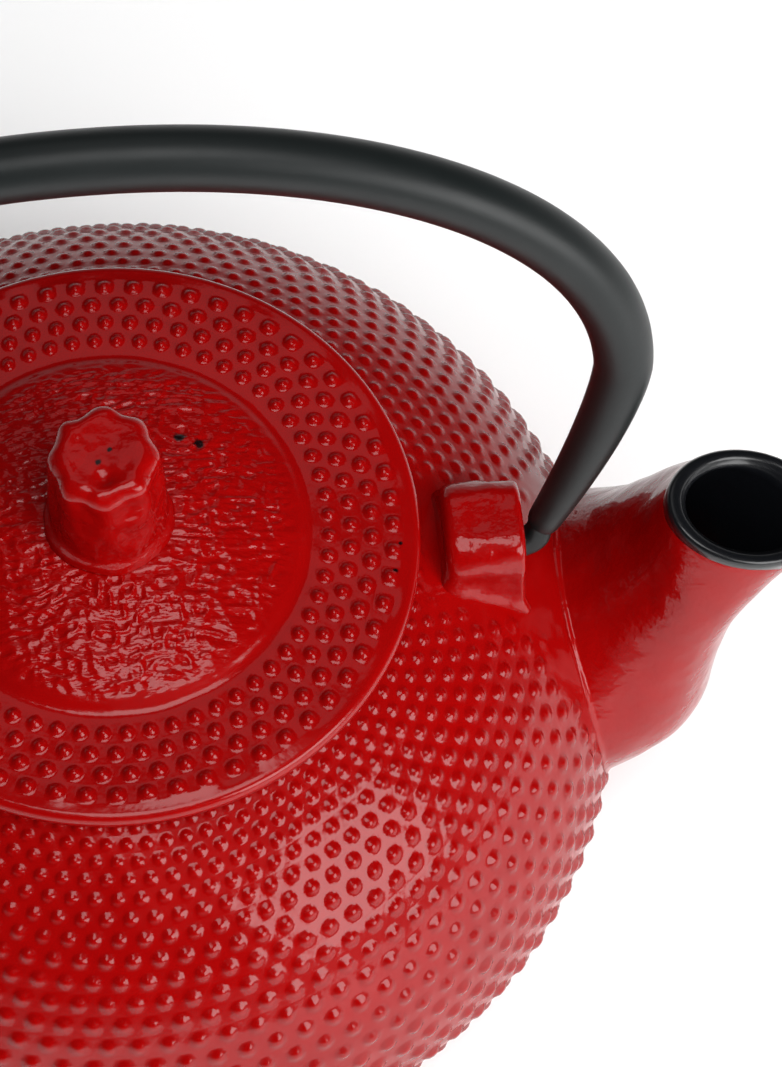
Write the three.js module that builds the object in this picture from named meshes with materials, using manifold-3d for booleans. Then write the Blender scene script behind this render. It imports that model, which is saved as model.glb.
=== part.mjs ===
// Cast iron teapot: a round enamelled pot with a short spout, a loose lid with a knob,
// a strainer basket in the mouth, and a bail handle that swings in two hooded lugs.
// Millimetres, +Z up, spout along +X, origin at the middle of the flat foot.
import * as THREE from 'three';
import { mergeVertices } from 'three/addons/utils/BufferGeometryUtils.js';
import Module from 'manifold-3d';

const wasm = await Module();
wasm.setup();

// ---------------------------------------------------------------- driving dimensions
const FIT_GAP = 0.3;            // left between pieces that touch
const BEYOND = 20;              // how far a cutting shape runs past what it cuts

// pot: two superellipse quarters, one above and one below the belly
const BELLY_RADIUS = 75.7;
const BELLY_HEIGHT = 35;
const SHOULDER_RISE = 54.5;
const SHOULDER_POWER = 2.22;
const BOWL_DROP = 32;
const BOWL_POWER = 1.85;
const POT_WALL = 3.2;
const FOOT_RADIUS = 38;
const FOOT_EDGE = 1;
const FLOOR_HEIGHT = 5;
const BOWL_TOP = 28;
const SHOULDER_TOP = 81;

// mouth: a raised collar with a step that carries the strainer basket
const COLLAR_RADIUS = 41.5;
const COLLAR_TOP = 87;
const STEP_RADIUS = 38.2;
const STEP_HEIGHT = 85;
const THROAT_RADIUS = 34.3;

// black enamel inside the pot
const LINING = 0.6;

// spout: each section is an ellipse between a point of the front curve and one of the back curve
const SPOUT_FRONT = [[68, 22], [110, 34], [76, 44.5], [105.7, 78]];
const SPOUT_BACK = [[60, 62], [68, 64], [75, 66], [81.9, 83.9]];
const SPOUT_ROOT_HALF_WIDTH = 23.5;
const SPOUT_MOUTH_HALF_WIDTH = 9.4;
const SPOUT_WIDTH_POWER = 0.75;
const PASSAGE_SHARE_AT_ROOT = 0.5;
const PASSAGE_SHARE_AT_MOUTH = 0.78;
const LIP_THICKNESS = 1;

// lugs: hooded blocks on the shoulder, open on their outward side
const LUG_INNER_X = 48.5;
const LUG_OUTER_X = 60.3;
const LUG_HALF_WIDTH = 7.8;
const LUG_FOOT_HALF_WIDTH = 9;
const LUG_TOP = 86;
const LUG_EDGE_RADIUS = 5;
const POCKET_INNER_X = 55;
const POCKET_HALF_WIDTH = 4;

// handle: a rolled steel tube, legs that spread and an arch, swung back from upright
const PIVOT_HEIGHT = 76.2;
const HANDLE_TILT = THREE.MathUtils.degToRad(20);
const HANDLE_HALF_WIDTH = 75.3;
const LEG_HEIGHT = 33.9;
const LEG_START_X = 61.5;
const LEG_POWER = 1.36;
const ARCH_RISE = 44.7;
const ARCH_POWER = 2.07;
const TUBE_RADIUS = 4.6;
const TUBE_END_RADIUS = 2.45;
const TUBE_TAPER_LENGTH = 50;
const TUBE_WALL = 0.7;
const TUBE_START_HEIGHT = 3.5;
const HOOK_RADIUS = 1.9;
const HOOK_SHANK_RADIUS = 1.35;
const HOOK_TIP_X = 56.8;
const HOOK_SHANK_HEIGHT = 12;

// lid: a studded flange, a low dome, and a ring below that keeps it in the mouth
const LID_RADIUS = 45;
const LID_TOP = 90;
const LID_BOTTOM = COLLAR_TOP + FIT_GAP;
const LID_BAND_RADIUS = 42.5;
const DOME_RADIUS = 29;
const DOME_FOOT_RISE = 1.3;
const DOME_RISE = 6.4;
const DOME_POWER = 2;
const LID_WALL = 3;
const RING_OUTER_RADIUS = 30.9;
const RING_INNER_RADIUS = 28.4;
const RING_BOTTOM = 80.5;

// knob, held by its own stem, peened over under the lid
const KNOB_TOP = 116;
const KNOB_LOBES = 8;
const KNOB_LOBE_DEPTH = 0.04;
const KNOB_PROFILE = [[9.3, 0], [9.1, 1.4], [8.6, 5], [8.2, 10], [7.9, 15], [7.7, 18], [7.2, 19.2], [5.6, 19.8]];
const STEM_RADIUS = 2.5;
const RIVET_RADIUS = 5;
const RIVET_THICKNESS = 1.4;

// strainer basket
const BASKET_FLANGE_RADIUS = 37.6;
const BASKET_RADIUS = 31.4;
const BASKET_SHEET = 0.6;
const BASKET_COLLAR_BOTTOM = 79.5;
const BASKET_BOTTOM = 42;
const CRIMP_HEIGHT = 2.2;
const CRIMP_WIDTH = 2.8;

// how finely round things are cut
const POT_SIDES = 40;
const LINING_SIDES = 20;
const SPOUT_SIDES = 20;
const BASKET_SIDES = 32;
const TUBE_SIDES = 8;
const QUARTER_STEPS = 7;

// ---------------------------------------------------------------- materials
const finish = (color, roughness, metalness) => new THREE.MeshStandardMaterial({ color, roughness, metalness });
const redEnamel = finish(0xa80a12, 0.28, 0.1);
const blackEnamel = finish(0x0c0d10, 0.22, 0.1);
const blackLacquer = finish(0x23292a, 0.45, 0.3);
const stainless = finish(0xb9bcc0, 0.3, 1);

// ---------------------------------------------------------------- geometry tools
const lerp = THREE.MathUtils.lerp;
const point = (x, y, z) => new THREE.Vector3(x, y, z);

// A closed three.js geometry becomes a solid: shared corners are joined, triangles of no area
// are dropped, and a surface that came out inside out is turned.
function solid(geometry) {
  geometry.deleteAttribute('normal');
  geometry.deleteAttribute('uv');
  const merged = mergeVertices(geometry, 1e-4);
  const corners = merged.index.array;
  const position = merged.getAttribute('position');
  const triangles = [];
  let volume = 0;
  for (let i = 0; i < corners.length; i += 3) {
    const [a, b, c] = corners.slice(i, i + 3);
    if (a === b || b === c || c === a) continue;
    const [pa, pb, pc] = [a, b, c].map((k) => new THREE.Vector3().fromBufferAttribute(position, k));
    volume += pa.dot(pb.cross(pc));
    triangles.push(a, b, c);
  }
  const faces = volume > 0 ? triangles : triangles.reverse();
  const mesh = new wasm.Mesh({
    numProp: 3,
    vertProperties: new Float32Array(position.array),
    triVerts: new Uint32Array(faces),
  });
  return new wasm.Manifold(mesh);
}

function namedMesh(name, shape, material) {
  const cut = shape.getMesh();
  const geometry = new THREE.BufferGeometry();
  geometry.setAttribute('position', new THREE.BufferAttribute(new Float32Array(cut.vertProperties), 3));
  geometry.setIndex(new THREE.BufferAttribute(new Uint32Array(cut.triVerts), 1));
  geometry.computeVertexNormals();
  const mesh = new THREE.Mesh(geometry, material);
  mesh.name = name;
  return mesh;
}

// An outline of [radius, height] points turned about Z.
function turned(outline, sides) {
  const lathe = new THREE.LatheGeometry(outline.map(([r, z]) => new THREE.Vector2(r, z)), sides);
  return solid(lathe.rotateX(Math.PI / 2));
}

// A closed ring of [radius, height] points turned about Z, for a piece with a hole in the middle.
const turnedRing = (outline, sides) => turned([...outline, outline[0]], sides);

// A skin over rings of points, all with the same count, with a flat cap on each end.
function lofted(rings) {
  const sides = rings[0].length;
  const corners = rings.flat();
  const faces = [];
  for (let i = 0; i < rings.length - 1; i += 1) {
    for (let j = 0; j < sides; j += 1) {
      const k = (j + 1) % sides;
      const low = i * sides;
      const high = low + sides;
      faces.push(low + j, low + k, high + k, low + j, high + k, high + j);
    }
  }
  for (const [start, order] of [[0, 1], [(rings.length - 1) * sides, -1]]) {
    const middle = corners.length;
    const ring = corners.slice(start, start + sides);
    corners.push(ring.reduce((sum, p) => sum.add(p), point(0, 0, 0)).divideScalar(sides));
    for (let j = 0; j < sides; j += 1) {
      const edge = [start + j, start + ((j + 1) % sides)];
      faces.push(middle, ...(order > 0 ? edge.reverse() : edge));
    }
  }
  const geometry = new THREE.BufferGeometry().setFromPoints(corners);
  geometry.setIndex(faces);
  return solid(geometry);
}

// Points [radius, height] of a superellipse quarter, from its widest place to a smaller radius.
function quarter(radius, rise, power, endRadius, steps) {
  const end = Math.acos((endRadius / radius) ** (power / 2));
  return Array.from({ length: steps + 1 }, (_, i) => {
    const angle = (end * i) / steps;
    return [radius * Math.cos(angle) ** (2 / power), rise * Math.sin(angle) ** (2 / power)];
  });
}

// ---------------------------------------------------------------- pot
// Outer or inner line of the pot from the foot up to a radius on the shoulder, moved in by inset.
function potLine(inset, footRadius, topRadius) {
  const radius = BELLY_RADIUS - inset;
  const bowl = quarter(radius, BOWL_DROP - inset, BOWL_POWER, footRadius, QUARTER_STEPS);
  const shoulder = quarter(radius, SHOULDER_RISE - inset, SHOULDER_POWER, topRadius, QUARTER_STEPS);
  const below = bowl.reverse().map(([r, z]) => [r, BELLY_HEIGHT - z]);
  const above = shoulder.slice(1).map(([r, z]) => [r, BELLY_HEIGHT + z]);
  return [...below, ...above];
}

// The pot's outer shape as a plain filled solid, grown or shrunk by inset.
function potBlank(inset) {
  const line = potLine(inset, FOOT_RADIUS, COLLAR_RADIUS);
  return turned([[0, 0], [FOOT_RADIUS, 0], ...line, [0, line.at(-1)[1]]], POT_SIDES);
}

// The stretch of a rising line between two heights, cut off level at both.
function stretch(line, low, high = line.at(-1)[1]) {
  const at = (height) => {
    const i = line.findIndex(([, z]) => z >= height);
    const [[r0, z0], [r1, z1]] = [line[i - 1], line[i]];
    return [lerp(r0, r1, (height - z0) / (z1 - z0)), height];
  };
  return [at(low), ...line.filter(([, z]) => z > low && z < high), at(high)];
}

// The casting's wall is made as a foot and three rings, a gap apart, so that none of them is a
// closed bowl: the hollow of the pot stays open.
const outerLine = [[FOOT_RADIUS, FOOT_EDGE], ...potLine(0, FOOT_RADIUS, COLLAR_RADIUS)];
const innerLine = [[FOOT_RADIUS - POT_WALL, 0], ...potLine(POT_WALL, FOOT_RADIUS - POT_WALL, THROAT_RADIUS)];

function bodyFoot() {
  return turned([[0, 0], [FOOT_RADIUS - FOOT_EDGE, 0], [FOOT_RADIUS, FOOT_EDGE], [FOOT_RADIUS, FLOOR_HEIGHT],
    [0, FLOOR_HEIGHT]], POT_SIDES);
}

function wallRing(low, high) {
  return turnedRing([...stretch(outerLine, low, high), ...stretch(innerLine, low, high).reverse()], POT_SIDES);
}

const bodyBowl = () => wallRing(FLOOR_HEIGHT + FIT_GAP, BOWL_TOP);
const bodyShoulder = () => wallRing(BOWL_TOP + FIT_GAP, SHOULDER_TOP).subtract(passage(0));

function bodyCollar() {
  const bottom = SHOULDER_TOP + FIT_GAP;
  return turnedRing([
    ...stretch(outerLine, bottom),
    [COLLAR_RADIUS, COLLAR_TOP - FOOT_EDGE],
    [COLLAR_RADIUS - FOOT_EDGE, COLLAR_TOP],
    [STEP_RADIUS, COLLAR_TOP],
    [STEP_RADIUS, STEP_HEIGHT],
    [THROAT_RADIUS, STEP_HEIGHT],
    ...stretch(innerLine, bottom).reverse(),
  ], POT_SIDES);
}

// A thin black coat over the inside, a gap away from the iron.
function bodyLining() {
  const edge = THROAT_RADIUS + 2;
  const face = (depth) => {
    const radius = FOOT_RADIUS - POT_WALL - depth;
    const floor = FLOOR_HEIGHT + depth;
    return [[0, floor], [radius, floor], ...potLine(POT_WALL + depth, radius, edge)];
  };
  const outline = [...face(FIT_GAP), ...face(FIT_GAP + LINING).reverse()];
  return turned(outline, LINING_SIDES).subtract(passage(0));
}

// ---------------------------------------------------------------- spout
const bezier = (curve) => new THREE.CubicBezierCurve(...curve.map(([x, z]) => new THREE.Vector2(x, z)));
const frontCurve = bezier(SPOUT_FRONT);
const backCurve = bezier(SPOUT_BACK);

// One ellipse across the spout at t, from 0 at the root to 1 at the mouth. share scales it, and
// inset then takes a fixed width off all round. lift moves it out along the mouth's own normal.
function spoutSection(t, share, inset, lift) {
  const front = frontCurve.getPoint(t);
  const back = backCurve.getPoint(t);
  const middle = front.clone().add(back).divideScalar(2);
  const along = front.clone().sub(back).divideScalar(2);
  const halfLength = along.length() * share - inset;
  const taper = (1 - t) ** SPOUT_WIDTH_POWER;
  const halfWidth = lerp(SPOUT_MOUTH_HALF_WIDTH, SPOUT_ROOT_HALF_WIDTH, taper) * share - inset;
  along.normalize();
  middle.add(new THREE.Vector2(-along.y, along.x).multiplyScalar(lift));
  return Array.from({ length: SPOUT_SIDES }, (_, i) => {
    const angle = (2 * Math.PI * i) / SPOUT_SIDES;
    const reach = halfLength * Math.cos(angle);
    return point(middle.x + along.x * reach, halfWidth * Math.sin(angle), middle.y + along.y * reach);
  });
}

const SPOUT_STEPS = 9;
const spoutStations = Array.from({ length: SPOUT_STEPS + 1 }, (_, i) => i / SPOUT_STEPS);
const passageShare = (t) => lerp(PASSAGE_SHARE_AT_ROOT, PASSAGE_SHARE_AT_MOUTH, t);

// The hollow of the spout, run back through the pot's wall and out past the mouth.
function passage(inset) {
  const rings = spoutStations.map((t) => spoutSection(t, passageShare(t), inset, 0));
  const inward = rings[0].map((p) => point(p.x - BEYOND, p.y, p.z));
  const outward = spoutSection(1, PASSAGE_SHARE_AT_MOUTH, inset, BEYOND);
  return lofted([inward, ...rings, outward]);
}

function spout() {
  const skin = lofted(spoutStations.map((t) => spoutSection(t, 1, 0, 0)));
  return skin.subtract(potBlank(-FIT_GAP)).subtract(passage(0));
}

// Black coat of the passage, with a lip that covers the iron at the mouth.
function spoutLining() {
  const rings = spoutStations.map((t) => spoutSection(t, passageShare(t), FIT_GAP, 0));
  const mouth = (share, inset, lift) => spoutSection(1, share, inset, lift);
  const collar = [mouth(1, 0, FIT_GAP), mouth(1, 0, FIT_GAP + LIP_THICKNESS * 0.6)];
  const skin = lofted([...rings, mouth(PASSAGE_SHARE_AT_MOUTH, FIT_GAP, FIT_GAP), ...collar,
    mouth(1, LIP_THICKNESS * 0.5, FIT_GAP + LIP_THICKNESS)]);
  return skin.subtract(passage(FIT_GAP + LINING)).subtract(potBlank(-FIT_GAP));
}

// ---------------------------------------------------------------- lugs
// An arch across Y at one x: straight sides with rounded upper edges, standing on a given height.
function archRing(x, halfWidth, footHalfWidth, top, bottom, radius) {
  const corner = (sign) => Array.from({ length: 5 }, (_, i) => {
    const angle = (Math.PI / 2) * (sign > 0 ? i / 4 : 1 - i / 4);
    const y = halfWidth - radius + radius * Math.cos(angle);
    return point(x, sign * y, top - radius + radius * Math.sin(angle));
  });
  return [point(x, footHalfWidth, bottom), ...corner(1), ...corner(-1), point(x, -footHalfWidth, bottom)];
}

function lug() {
  const bottom = PIVOT_HEIGHT - BEYOND / 2;
  const edge = 1;
  const arch = (x, inset) => archRing(x, LUG_HALF_WIDTH - inset, LUG_FOOT_HALF_WIDTH - inset,
    LUG_TOP - inset, bottom, LUG_EDGE_RADIUS);
  const block = lofted([
    arch(LUG_INNER_X, edge), arch(LUG_INNER_X + edge, 0), arch(LUG_OUTER_X - edge / 2, 0),
    arch(LUG_OUTER_X, edge / 2),
  ]);
  const pocketTop = PIVOT_HEIGHT + POCKET_HALF_WIDTH;
  const pocketRing = (x) => archRing(x, POCKET_HALF_WIDTH, POCKET_HALF_WIDTH, pocketTop, bottom,
    POCKET_HALF_WIDTH * 0.9);
  const pocket = lofted([pocketRing(POCKET_INNER_X), pocketRing(LUG_OUTER_X + BEYOND)]);
  return block.subtract(pocket).subtract(potBlank(-FIT_GAP));
}

// ---------------------------------------------------------------- handle
// The handle's middle line, as [x, height above the pivot], from the spout side over the top.
function legPoint(height) {
  const spread = (HANDLE_HALF_WIDTH - LEG_START_X) * (1 - height / LEG_HEIGHT) ** LEG_POWER;
  return [HANDLE_HALF_WIDTH - spread, height];
}

function archPoint(angle) {
  const x = Math.sign(Math.cos(angle)) * Math.abs(Math.cos(angle)) ** (2 / ARCH_POWER);
  return [HANDLE_HALF_WIDTH * x, LEG_HEIGHT + ARCH_RISE * Math.sin(angle) ** (2 / ARCH_POWER)];
}

function handleLine() {
  const legSteps = 5;
  const archSteps = 24;
  const leg = Array.from({ length: legSteps }, (_, i) =>
    legPoint(lerp(TUBE_START_HEIGHT, LEG_HEIGHT, i / legSteps)));
  const arch = Array.from({ length: archSteps + 1 }, (_, i) => archPoint((Math.PI * i) / archSteps));
  const farLeg = leg.map(([x, height]) => [-x, height]).reverse();
  return [...leg, ...arch, ...farLeg];
}

// Rings of a given radius along a line in the handle's own plane, which leans back over the pivot.
function bentRod(line, radiusAt, sides) {
  let run = 0;
  return line.map(([x, height], i) => {
    const [x0, h0] = line[Math.max(i - 1, 0)];
    const [x1, h1] = line[Math.min(i + 1, line.length - 1)];
    run += Math.hypot(x - x0, height - h0);
    const length = Math.hypot(x1 - x0, h1 - h0);
    const across = [(h1 - h0) / length, (x0 - x1) / length];
    const radius = radiusAt(run);
    return Array.from({ length: sides }, (_, j) => {
      const angle = (2 * Math.PI * j) / sides;
      const up = height + across[1] * radius * Math.cos(angle);
      const aside = radius * Math.sin(angle);
      return point(
        x + across[0] * radius * Math.cos(angle),
        up * Math.sin(HANDLE_TILT) - aside * Math.cos(HANDLE_TILT),
        PIVOT_HEIGHT + up * Math.cos(HANDLE_TILT) + aside * Math.sin(HANDLE_TILT),
      );
    });
  });
}

function handleTube() {
  const line = handleLine();
  const total = line.slice(1).reduce((sum, [x, h], i) => sum + Math.hypot(x - line[i][0], h - line[i][1]), 0);
  const radiusAt = (run) => {
    const share = Math.min(Math.min(run, total - run) / TUBE_TAPER_LENGTH, 1);
    return lerp(TUBE_END_RADIUS, TUBE_RADIUS, Math.sin((Math.PI / 2) * share));
  };
  const outer = lofted(bentRod(line, radiusAt, TUBE_SIDES));
  const [first, second] = line;
  const before = [2 * first[0] - second[0], 2 * first[1] - second[1]];
  const longLine = [before, ...line, [-before[0], before[1]]];
  const bore = lofted(bentRod(longLine, (run) => radiusAt(run - (second[1] - first[1])) - TUBE_WALL, TUBE_SIDES));
  return outer.subtract(bore);
}

// A round steel end: it lies in the lug's pocket, turns up, and is pressed into the tube.
function hook() {
  const elbow = Array.from({ length: 5 }, (_, i) => {
    const share = i / 4;
    const [x, height] = legPoint(TUBE_START_HEIGHT * share);
    return [lerp(LEG_START_X - 1, x, share ** 0.5), height];
  });
  const shank = [0.33, 0.66, 1].map((share) => legPoint(lerp(TUBE_START_HEIGHT, HOOK_SHANK_HEIGHT, share)));
  const line = [[HOOK_TIP_X, 0], [HOOK_TIP_X + 0.6, 0], ...elbow, ...shank];
  const straight = LEG_START_X - HOOK_TIP_X;
  const radiusAt = (run) => {
    if (run === 0) return HOOK_RADIUS * 0.75;
    const share = THREE.MathUtils.smoothstep(run, straight - 1, straight + TUBE_START_HEIGHT * 0.7);
    return lerp(HOOK_RADIUS, HOOK_SHANK_RADIUS, share);
  };
  return lofted(bentRod(line, radiusAt, TUBE_SIDES));
}

// ---------------------------------------------------------------- lid
const domeHeight = (r) => LID_TOP + lerp(DOME_RISE, DOME_FOOT_RISE, (r / DOME_RADIUS) ** DOME_POWER);

function lid() {
  const steps = 5;
  const hole = STEM_RADIUS + FIT_GAP;
  const dome = Array.from({ length: steps + 1 }, (_, i) => lerp(hole, DOME_RADIUS, i / steps));
  const domeTop = dome.map((r) => [r, domeHeight(r)]);
  const hollow = dome.map((r) => lerp(hole, RING_INNER_RADIUS, (r - hole) / (DOME_RADIUS - hole)));
  const domeUnder = hollow.map((r) => [r, domeHeight(r) - LID_WALL]).reverse();
  const outline = [
    ...domeTop,
    [DOME_RADIUS + 0.6, LID_TOP + DOME_FOOT_RISE - 0.4],
    [LID_BAND_RADIUS, LID_TOP + 0.3],
    [LID_RADIUS - 0.8, LID_TOP - 0.1],
    [LID_RADIUS, LID_TOP - 0.9],
    [LID_RADIUS, LID_BOTTOM + 0.8],
    [LID_RADIUS - 0.8, LID_BOTTOM],
    [RING_OUTER_RADIUS, LID_BOTTOM],
    [RING_OUTER_RADIUS, RING_BOTTOM + 0.6],
    [RING_OUTER_RADIUS - 0.6, RING_BOTTOM],
    [RING_INNER_RADIUS, RING_BOTTOM],
    ...domeUnder,
  ];
  return turnedRing(outline, POT_SIDES);
}

// The knob's sides swell and sink in even lobes, which fade out towards its foot.
function knob() {
  const foot = domeHeight(KNOB_PROFILE[0][0]) + FIT_GAP + 0.3;
  const scale = (KNOB_TOP - foot) / KNOB_PROFILE.at(-1)[1];
  const sides = KNOB_LOBES * 4;
  const ring = (radius, height, lobe) => Array.from({ length: sides }, (_, i) => {
    const angle = (2 * Math.PI * i) / sides;
    const r = radius * (1 + lobe * Math.cos(KNOB_LOBES * angle));
    return point(r * Math.cos(angle), r * Math.sin(angle), height);
  });
  const body = KNOB_PROFILE.map(([r, h], i) =>
    ring(r, foot + h * scale, KNOB_LOBE_DEPTH * Math.min(i / 5, 1)));
  const stemBottom = domeHeight(0) - LID_WALL - FIT_GAP;
  const stem = [ring(STEM_RADIUS, stemBottom, 0), ring(STEM_RADIUS, foot, 0)];
  return lofted([...stem, ...body]);
}

function knobRivet() {
  const top = domeHeight(0) - LID_WALL - 2 * FIT_GAP;
  const bottom = top - RIVET_THICKNESS;
  return turned([[0, top], [RIVET_RADIUS, top], [RIVET_RADIUS, top - RIVET_THICKNESS / 2],
    [RIVET_RADIUS * 0.6, bottom], [0, bottom]], POT_SIDES / 2);
}

// ---------------------------------------------------------------- strainer basket
function basketRim() {
  const under = STEP_HEIGHT + FIT_GAP;
  const over = under + BASKET_SHEET;
  const outer = BASKET_RADIUS + BASKET_SHEET;
  return turnedRing([[BASKET_RADIUS, BASKET_COLLAR_BOTTOM], [outer, BASKET_COLLAR_BOTTOM], [outer, under],
    [BASKET_FLANGE_RADIUS, under], [BASKET_FLANGE_RADIUS, over], [BASKET_RADIUS + 0.3, over],
    [BASKET_RADIUS, over - 0.3]], BASKET_SIDES);
}

const meshRadius = BASKET_RADIUS + BASKET_SHEET + FIT_GAP;

function basketWall() {
  const bottom = BASKET_BOTTOM + CRIMP_HEIGHT + FIT_GAP;
  const top = STEP_HEIGHT;
  return turnedRing([[meshRadius, bottom], [meshRadius + BASKET_SHEET, bottom],
    [meshRadius + BASKET_SHEET, top], [meshRadius, top]], BASKET_SIDES);
}

function basketCrimp() {
  const outer = meshRadius + BASKET_SHEET + FIT_GAP;
  const inner = outer - CRIMP_WIDTH;
  return turnedRing([[inner, BASKET_BOTTOM], [outer - 0.6, BASKET_BOTTOM], [outer, BASKET_BOTTOM + 0.6],
    [outer, BASKET_BOTTOM + CRIMP_HEIGHT], [inner, BASKET_BOTTOM + CRIMP_HEIGHT]], BASKET_SIDES);
}

function basketFloor() {
  const radius = meshRadius + BASKET_SHEET - CRIMP_WIDTH;
  const bottom = BASKET_BOTTOM + CRIMP_HEIGHT / 2 - BASKET_SHEET / 2;
  return turned([[0, bottom], [radius, bottom], [radius, bottom + BASKET_SHEET], [0, bottom + BASKET_SHEET]],
    BASKET_SIDES);
}

// ---------------------------------------------------------------- the teapot
const HALF_TURN = Math.PI;

// A piece of the spout side, or the same piece turned to the far side of the pot.
function onBothSides(name, shape, material) {
  const front = namedMesh(`${name}_front`, shape, material);
  const rear = namedMesh(`${name}_rear`, shape, material);
  return [front, rear];
}

const pot = new THREE.Group();
const [lugFront, lugRear] = onBothSides('lug', lug(), redEnamel);
lugRear.rotation.z = HALF_TURN;
pot.add(
  namedMesh('body_foot', bodyFoot(), redEnamel),
  namedMesh('body_bowl', bodyBowl(), redEnamel),
  namedMesh('body_shoulder', bodyShoulder(), redEnamel),
  namedMesh('body_collar', bodyCollar(), redEnamel),
  namedMesh('body_lining', bodyLining(), blackEnamel),
  namedMesh('spout', spout(), redEnamel),
  namedMesh('spout_lining', spoutLining(), blackEnamel),
  lugFront,
  lugRear,
);

const handle = new THREE.Group();
const hookShape = hook();
handle.add(
  namedMesh('handle_tube', handleTube(), blackLacquer),
  namedMesh('handle_hook_front', hookShape, blackLacquer),
  namedMesh('handle_hook_rear', hookShape.mirror([1, 0, 0]), blackLacquer),
);

const lidGroup = new THREE.Group();
lidGroup.add(
  namedMesh('lid', lid(), redEnamel),
  namedMesh('knob', knob(), redEnamel),
  namedMesh('knob_rivet', knobRivet(), stainless),
);

const basket = new THREE.Group();
basket.add(
  namedMesh('basket_rim', basketRim(), stainless),
  namedMesh('basket_wall', basketWall(), stainless),
  namedMesh('basket_crimp', basketCrimp(), stainless),
  namedMesh('basket_floor', basketFloor(), stainless),
);

const group = new THREE.Group();
group.add(pot, handle, lidGroup, basket);
group.updateMatrixWorld(true);

export default group;
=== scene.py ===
"""Fine surfaces, finishes and stage for a studded cast iron teapot.

Laid out as an add-on and run as a script. Every surface is worked out with numpy on a grid of
rows and columns, in metres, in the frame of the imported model: +Z up, spout along +X, origin at
the middle of the foot.
"""
import itertools
import math

import bpy
import numpy as np
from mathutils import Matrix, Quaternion, Vector


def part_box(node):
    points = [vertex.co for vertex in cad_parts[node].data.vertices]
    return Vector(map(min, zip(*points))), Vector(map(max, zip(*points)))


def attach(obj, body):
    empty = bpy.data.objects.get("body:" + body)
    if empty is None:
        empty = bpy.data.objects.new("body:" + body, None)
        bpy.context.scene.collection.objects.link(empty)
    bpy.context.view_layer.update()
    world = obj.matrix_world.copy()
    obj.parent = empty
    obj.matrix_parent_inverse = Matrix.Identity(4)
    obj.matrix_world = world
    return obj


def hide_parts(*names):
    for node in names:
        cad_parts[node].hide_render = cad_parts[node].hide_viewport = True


bl_info = {
    "name": "Cast Iron Teapot",
    "version": (1, 0, 0),
    "blender": (4, 5, 0),
    "location": "3D View > Sidebar > Teapot",
    "description": "Studded enamel surfaces, finishes and stage for a cast iron teapot",
    "category": "Add Mesh",
}

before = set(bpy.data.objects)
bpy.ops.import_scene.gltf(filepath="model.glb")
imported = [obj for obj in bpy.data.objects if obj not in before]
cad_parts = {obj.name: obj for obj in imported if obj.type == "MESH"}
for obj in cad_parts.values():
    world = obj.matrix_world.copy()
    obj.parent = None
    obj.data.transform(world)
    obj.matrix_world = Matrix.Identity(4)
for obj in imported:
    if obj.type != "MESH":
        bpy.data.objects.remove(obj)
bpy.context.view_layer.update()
MM = 0.001
TURN = 2 * math.pi
QUARTER = TURN / 4


def reach(node, axis):
    """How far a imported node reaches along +X, +Y or +Z (axis 0, 1 or 2)."""
    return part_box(node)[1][axis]


# ---------------------------------------------------------------- lesser sizes
POT_WALL = 3.2 * MM
FOOT_EDGE = 1.2 * MM
FOOT_RECESS = 1 * MM
FLOOR_HEIGHT = 5 * MM
COLLAR_EDGE = 0.9 * MM
STEP_RADIUS = 38.2 * MM
STEP_HEIGHT = 85 * MM
THROAT_RADIUS = 34.3 * MM
LINING = 0.6 * MM
LINING_GAP = 0.3 * MM

STUD_COLUMNS = 8
STUD_ROWS = 6
LID_STUD_COLUMNS = 9
LID_STUD_ROWS = 7
LID_STUD_SHARE = 0.25
LID_STUD_HEIGHT = 0.75 * MM
SPLIT_BAND = 17

SPOUT_FRONT = ((68, 22), (110, 34), (76, 44.5), (105.7, 78))
SPOUT_BACK = ((60, 62), (68, 64), (75, 66), (81.9, 83.9))
SPOUT_WIDTH_POWER = 0.75
PASSAGE_AT_ROOT = 0.5
SPOUT_BURIED = 1.8 * MM
SEAM_HEIGHT = 0.5 * MM
SEAM_WIDTH = 0.42 * MM
LIP_THICKNESS = 1 * MM

LUG_INNER_X = 48.5 * MM
LUG_OUTER_X = 60.3 * MM
LUG_HALF_WIDTH = 7.8 * MM
LUG_FLARE = 1.2 * MM
LUG_TOP = 86 * MM
LUG_EDGE_RADIUS = 5 * MM
POCKET_INNER_X = 55 * MM
POCKET_HALF_WIDTH = 4 * MM

LEG_POWER = 1.36
ARCH_POWER = 2.07
TUBE_WALL = 0.7 * MM
TUBE_START_HEIGHT = 3.5 * MM
HOOK_SHANK_RADIUS = 1.35 * MM
HOOK_TIP_X = 56.8 * MM
HOOK_SHANK_HEIGHT = 12 * MM

LID_BAND_RADIUS = 42.6 * MM
DOME_RADIUS = 29 * MM
DOME_FOOT_RISE = 1.3 * MM
DOME_RISE = 6.4 * MM
LID_WALL = 3 * MM
LID_EDGE = 0.9 * MM
BARK_DEPTH = 0.3 * MM
RING_OUTER_RADIUS = 30.9 * MM
RING_INNER_RADIUS = 28.4 * MM
STEM_HOLE = 2.8 * MM
STEM_RADIUS = 2.5 * MM
KNOB_EDGE = 2.4 * MM
KNOB_DISH = 0.4 * MM
KNOB_TAPER = 0.75 * MM
KNOB_SUNK = 0.7 * MM
KNOB_LOBE_DEPTH = 0.045
RIVET_RADIUS = 5 * MM
RIVET_THICKNESS = 1.4 * MM

BASKET_SHEET = 0.6 * MM
BASKET_FLOOR_CELLS = 30

# Depth of the unevenness in the enamel: on studded iron, on the knob, and on smooth iron
FINE_PEEL = 0.05 * MM
KNOB_PEEL = 0.12 * MM
COARSE_PEEL = 0.16 * MM
WRINKLE_DEPTH = 0.32 * MM
# Painted shade with thick enamel: how far the red darkens towards the deep red in the ring round each stud's
# foot, on the pot and on the lid
POT_CREVICE_POOL_AND_SHADE = 0.22
LID_CREVICE_POOL_AND_SHADE = 0.16

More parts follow.
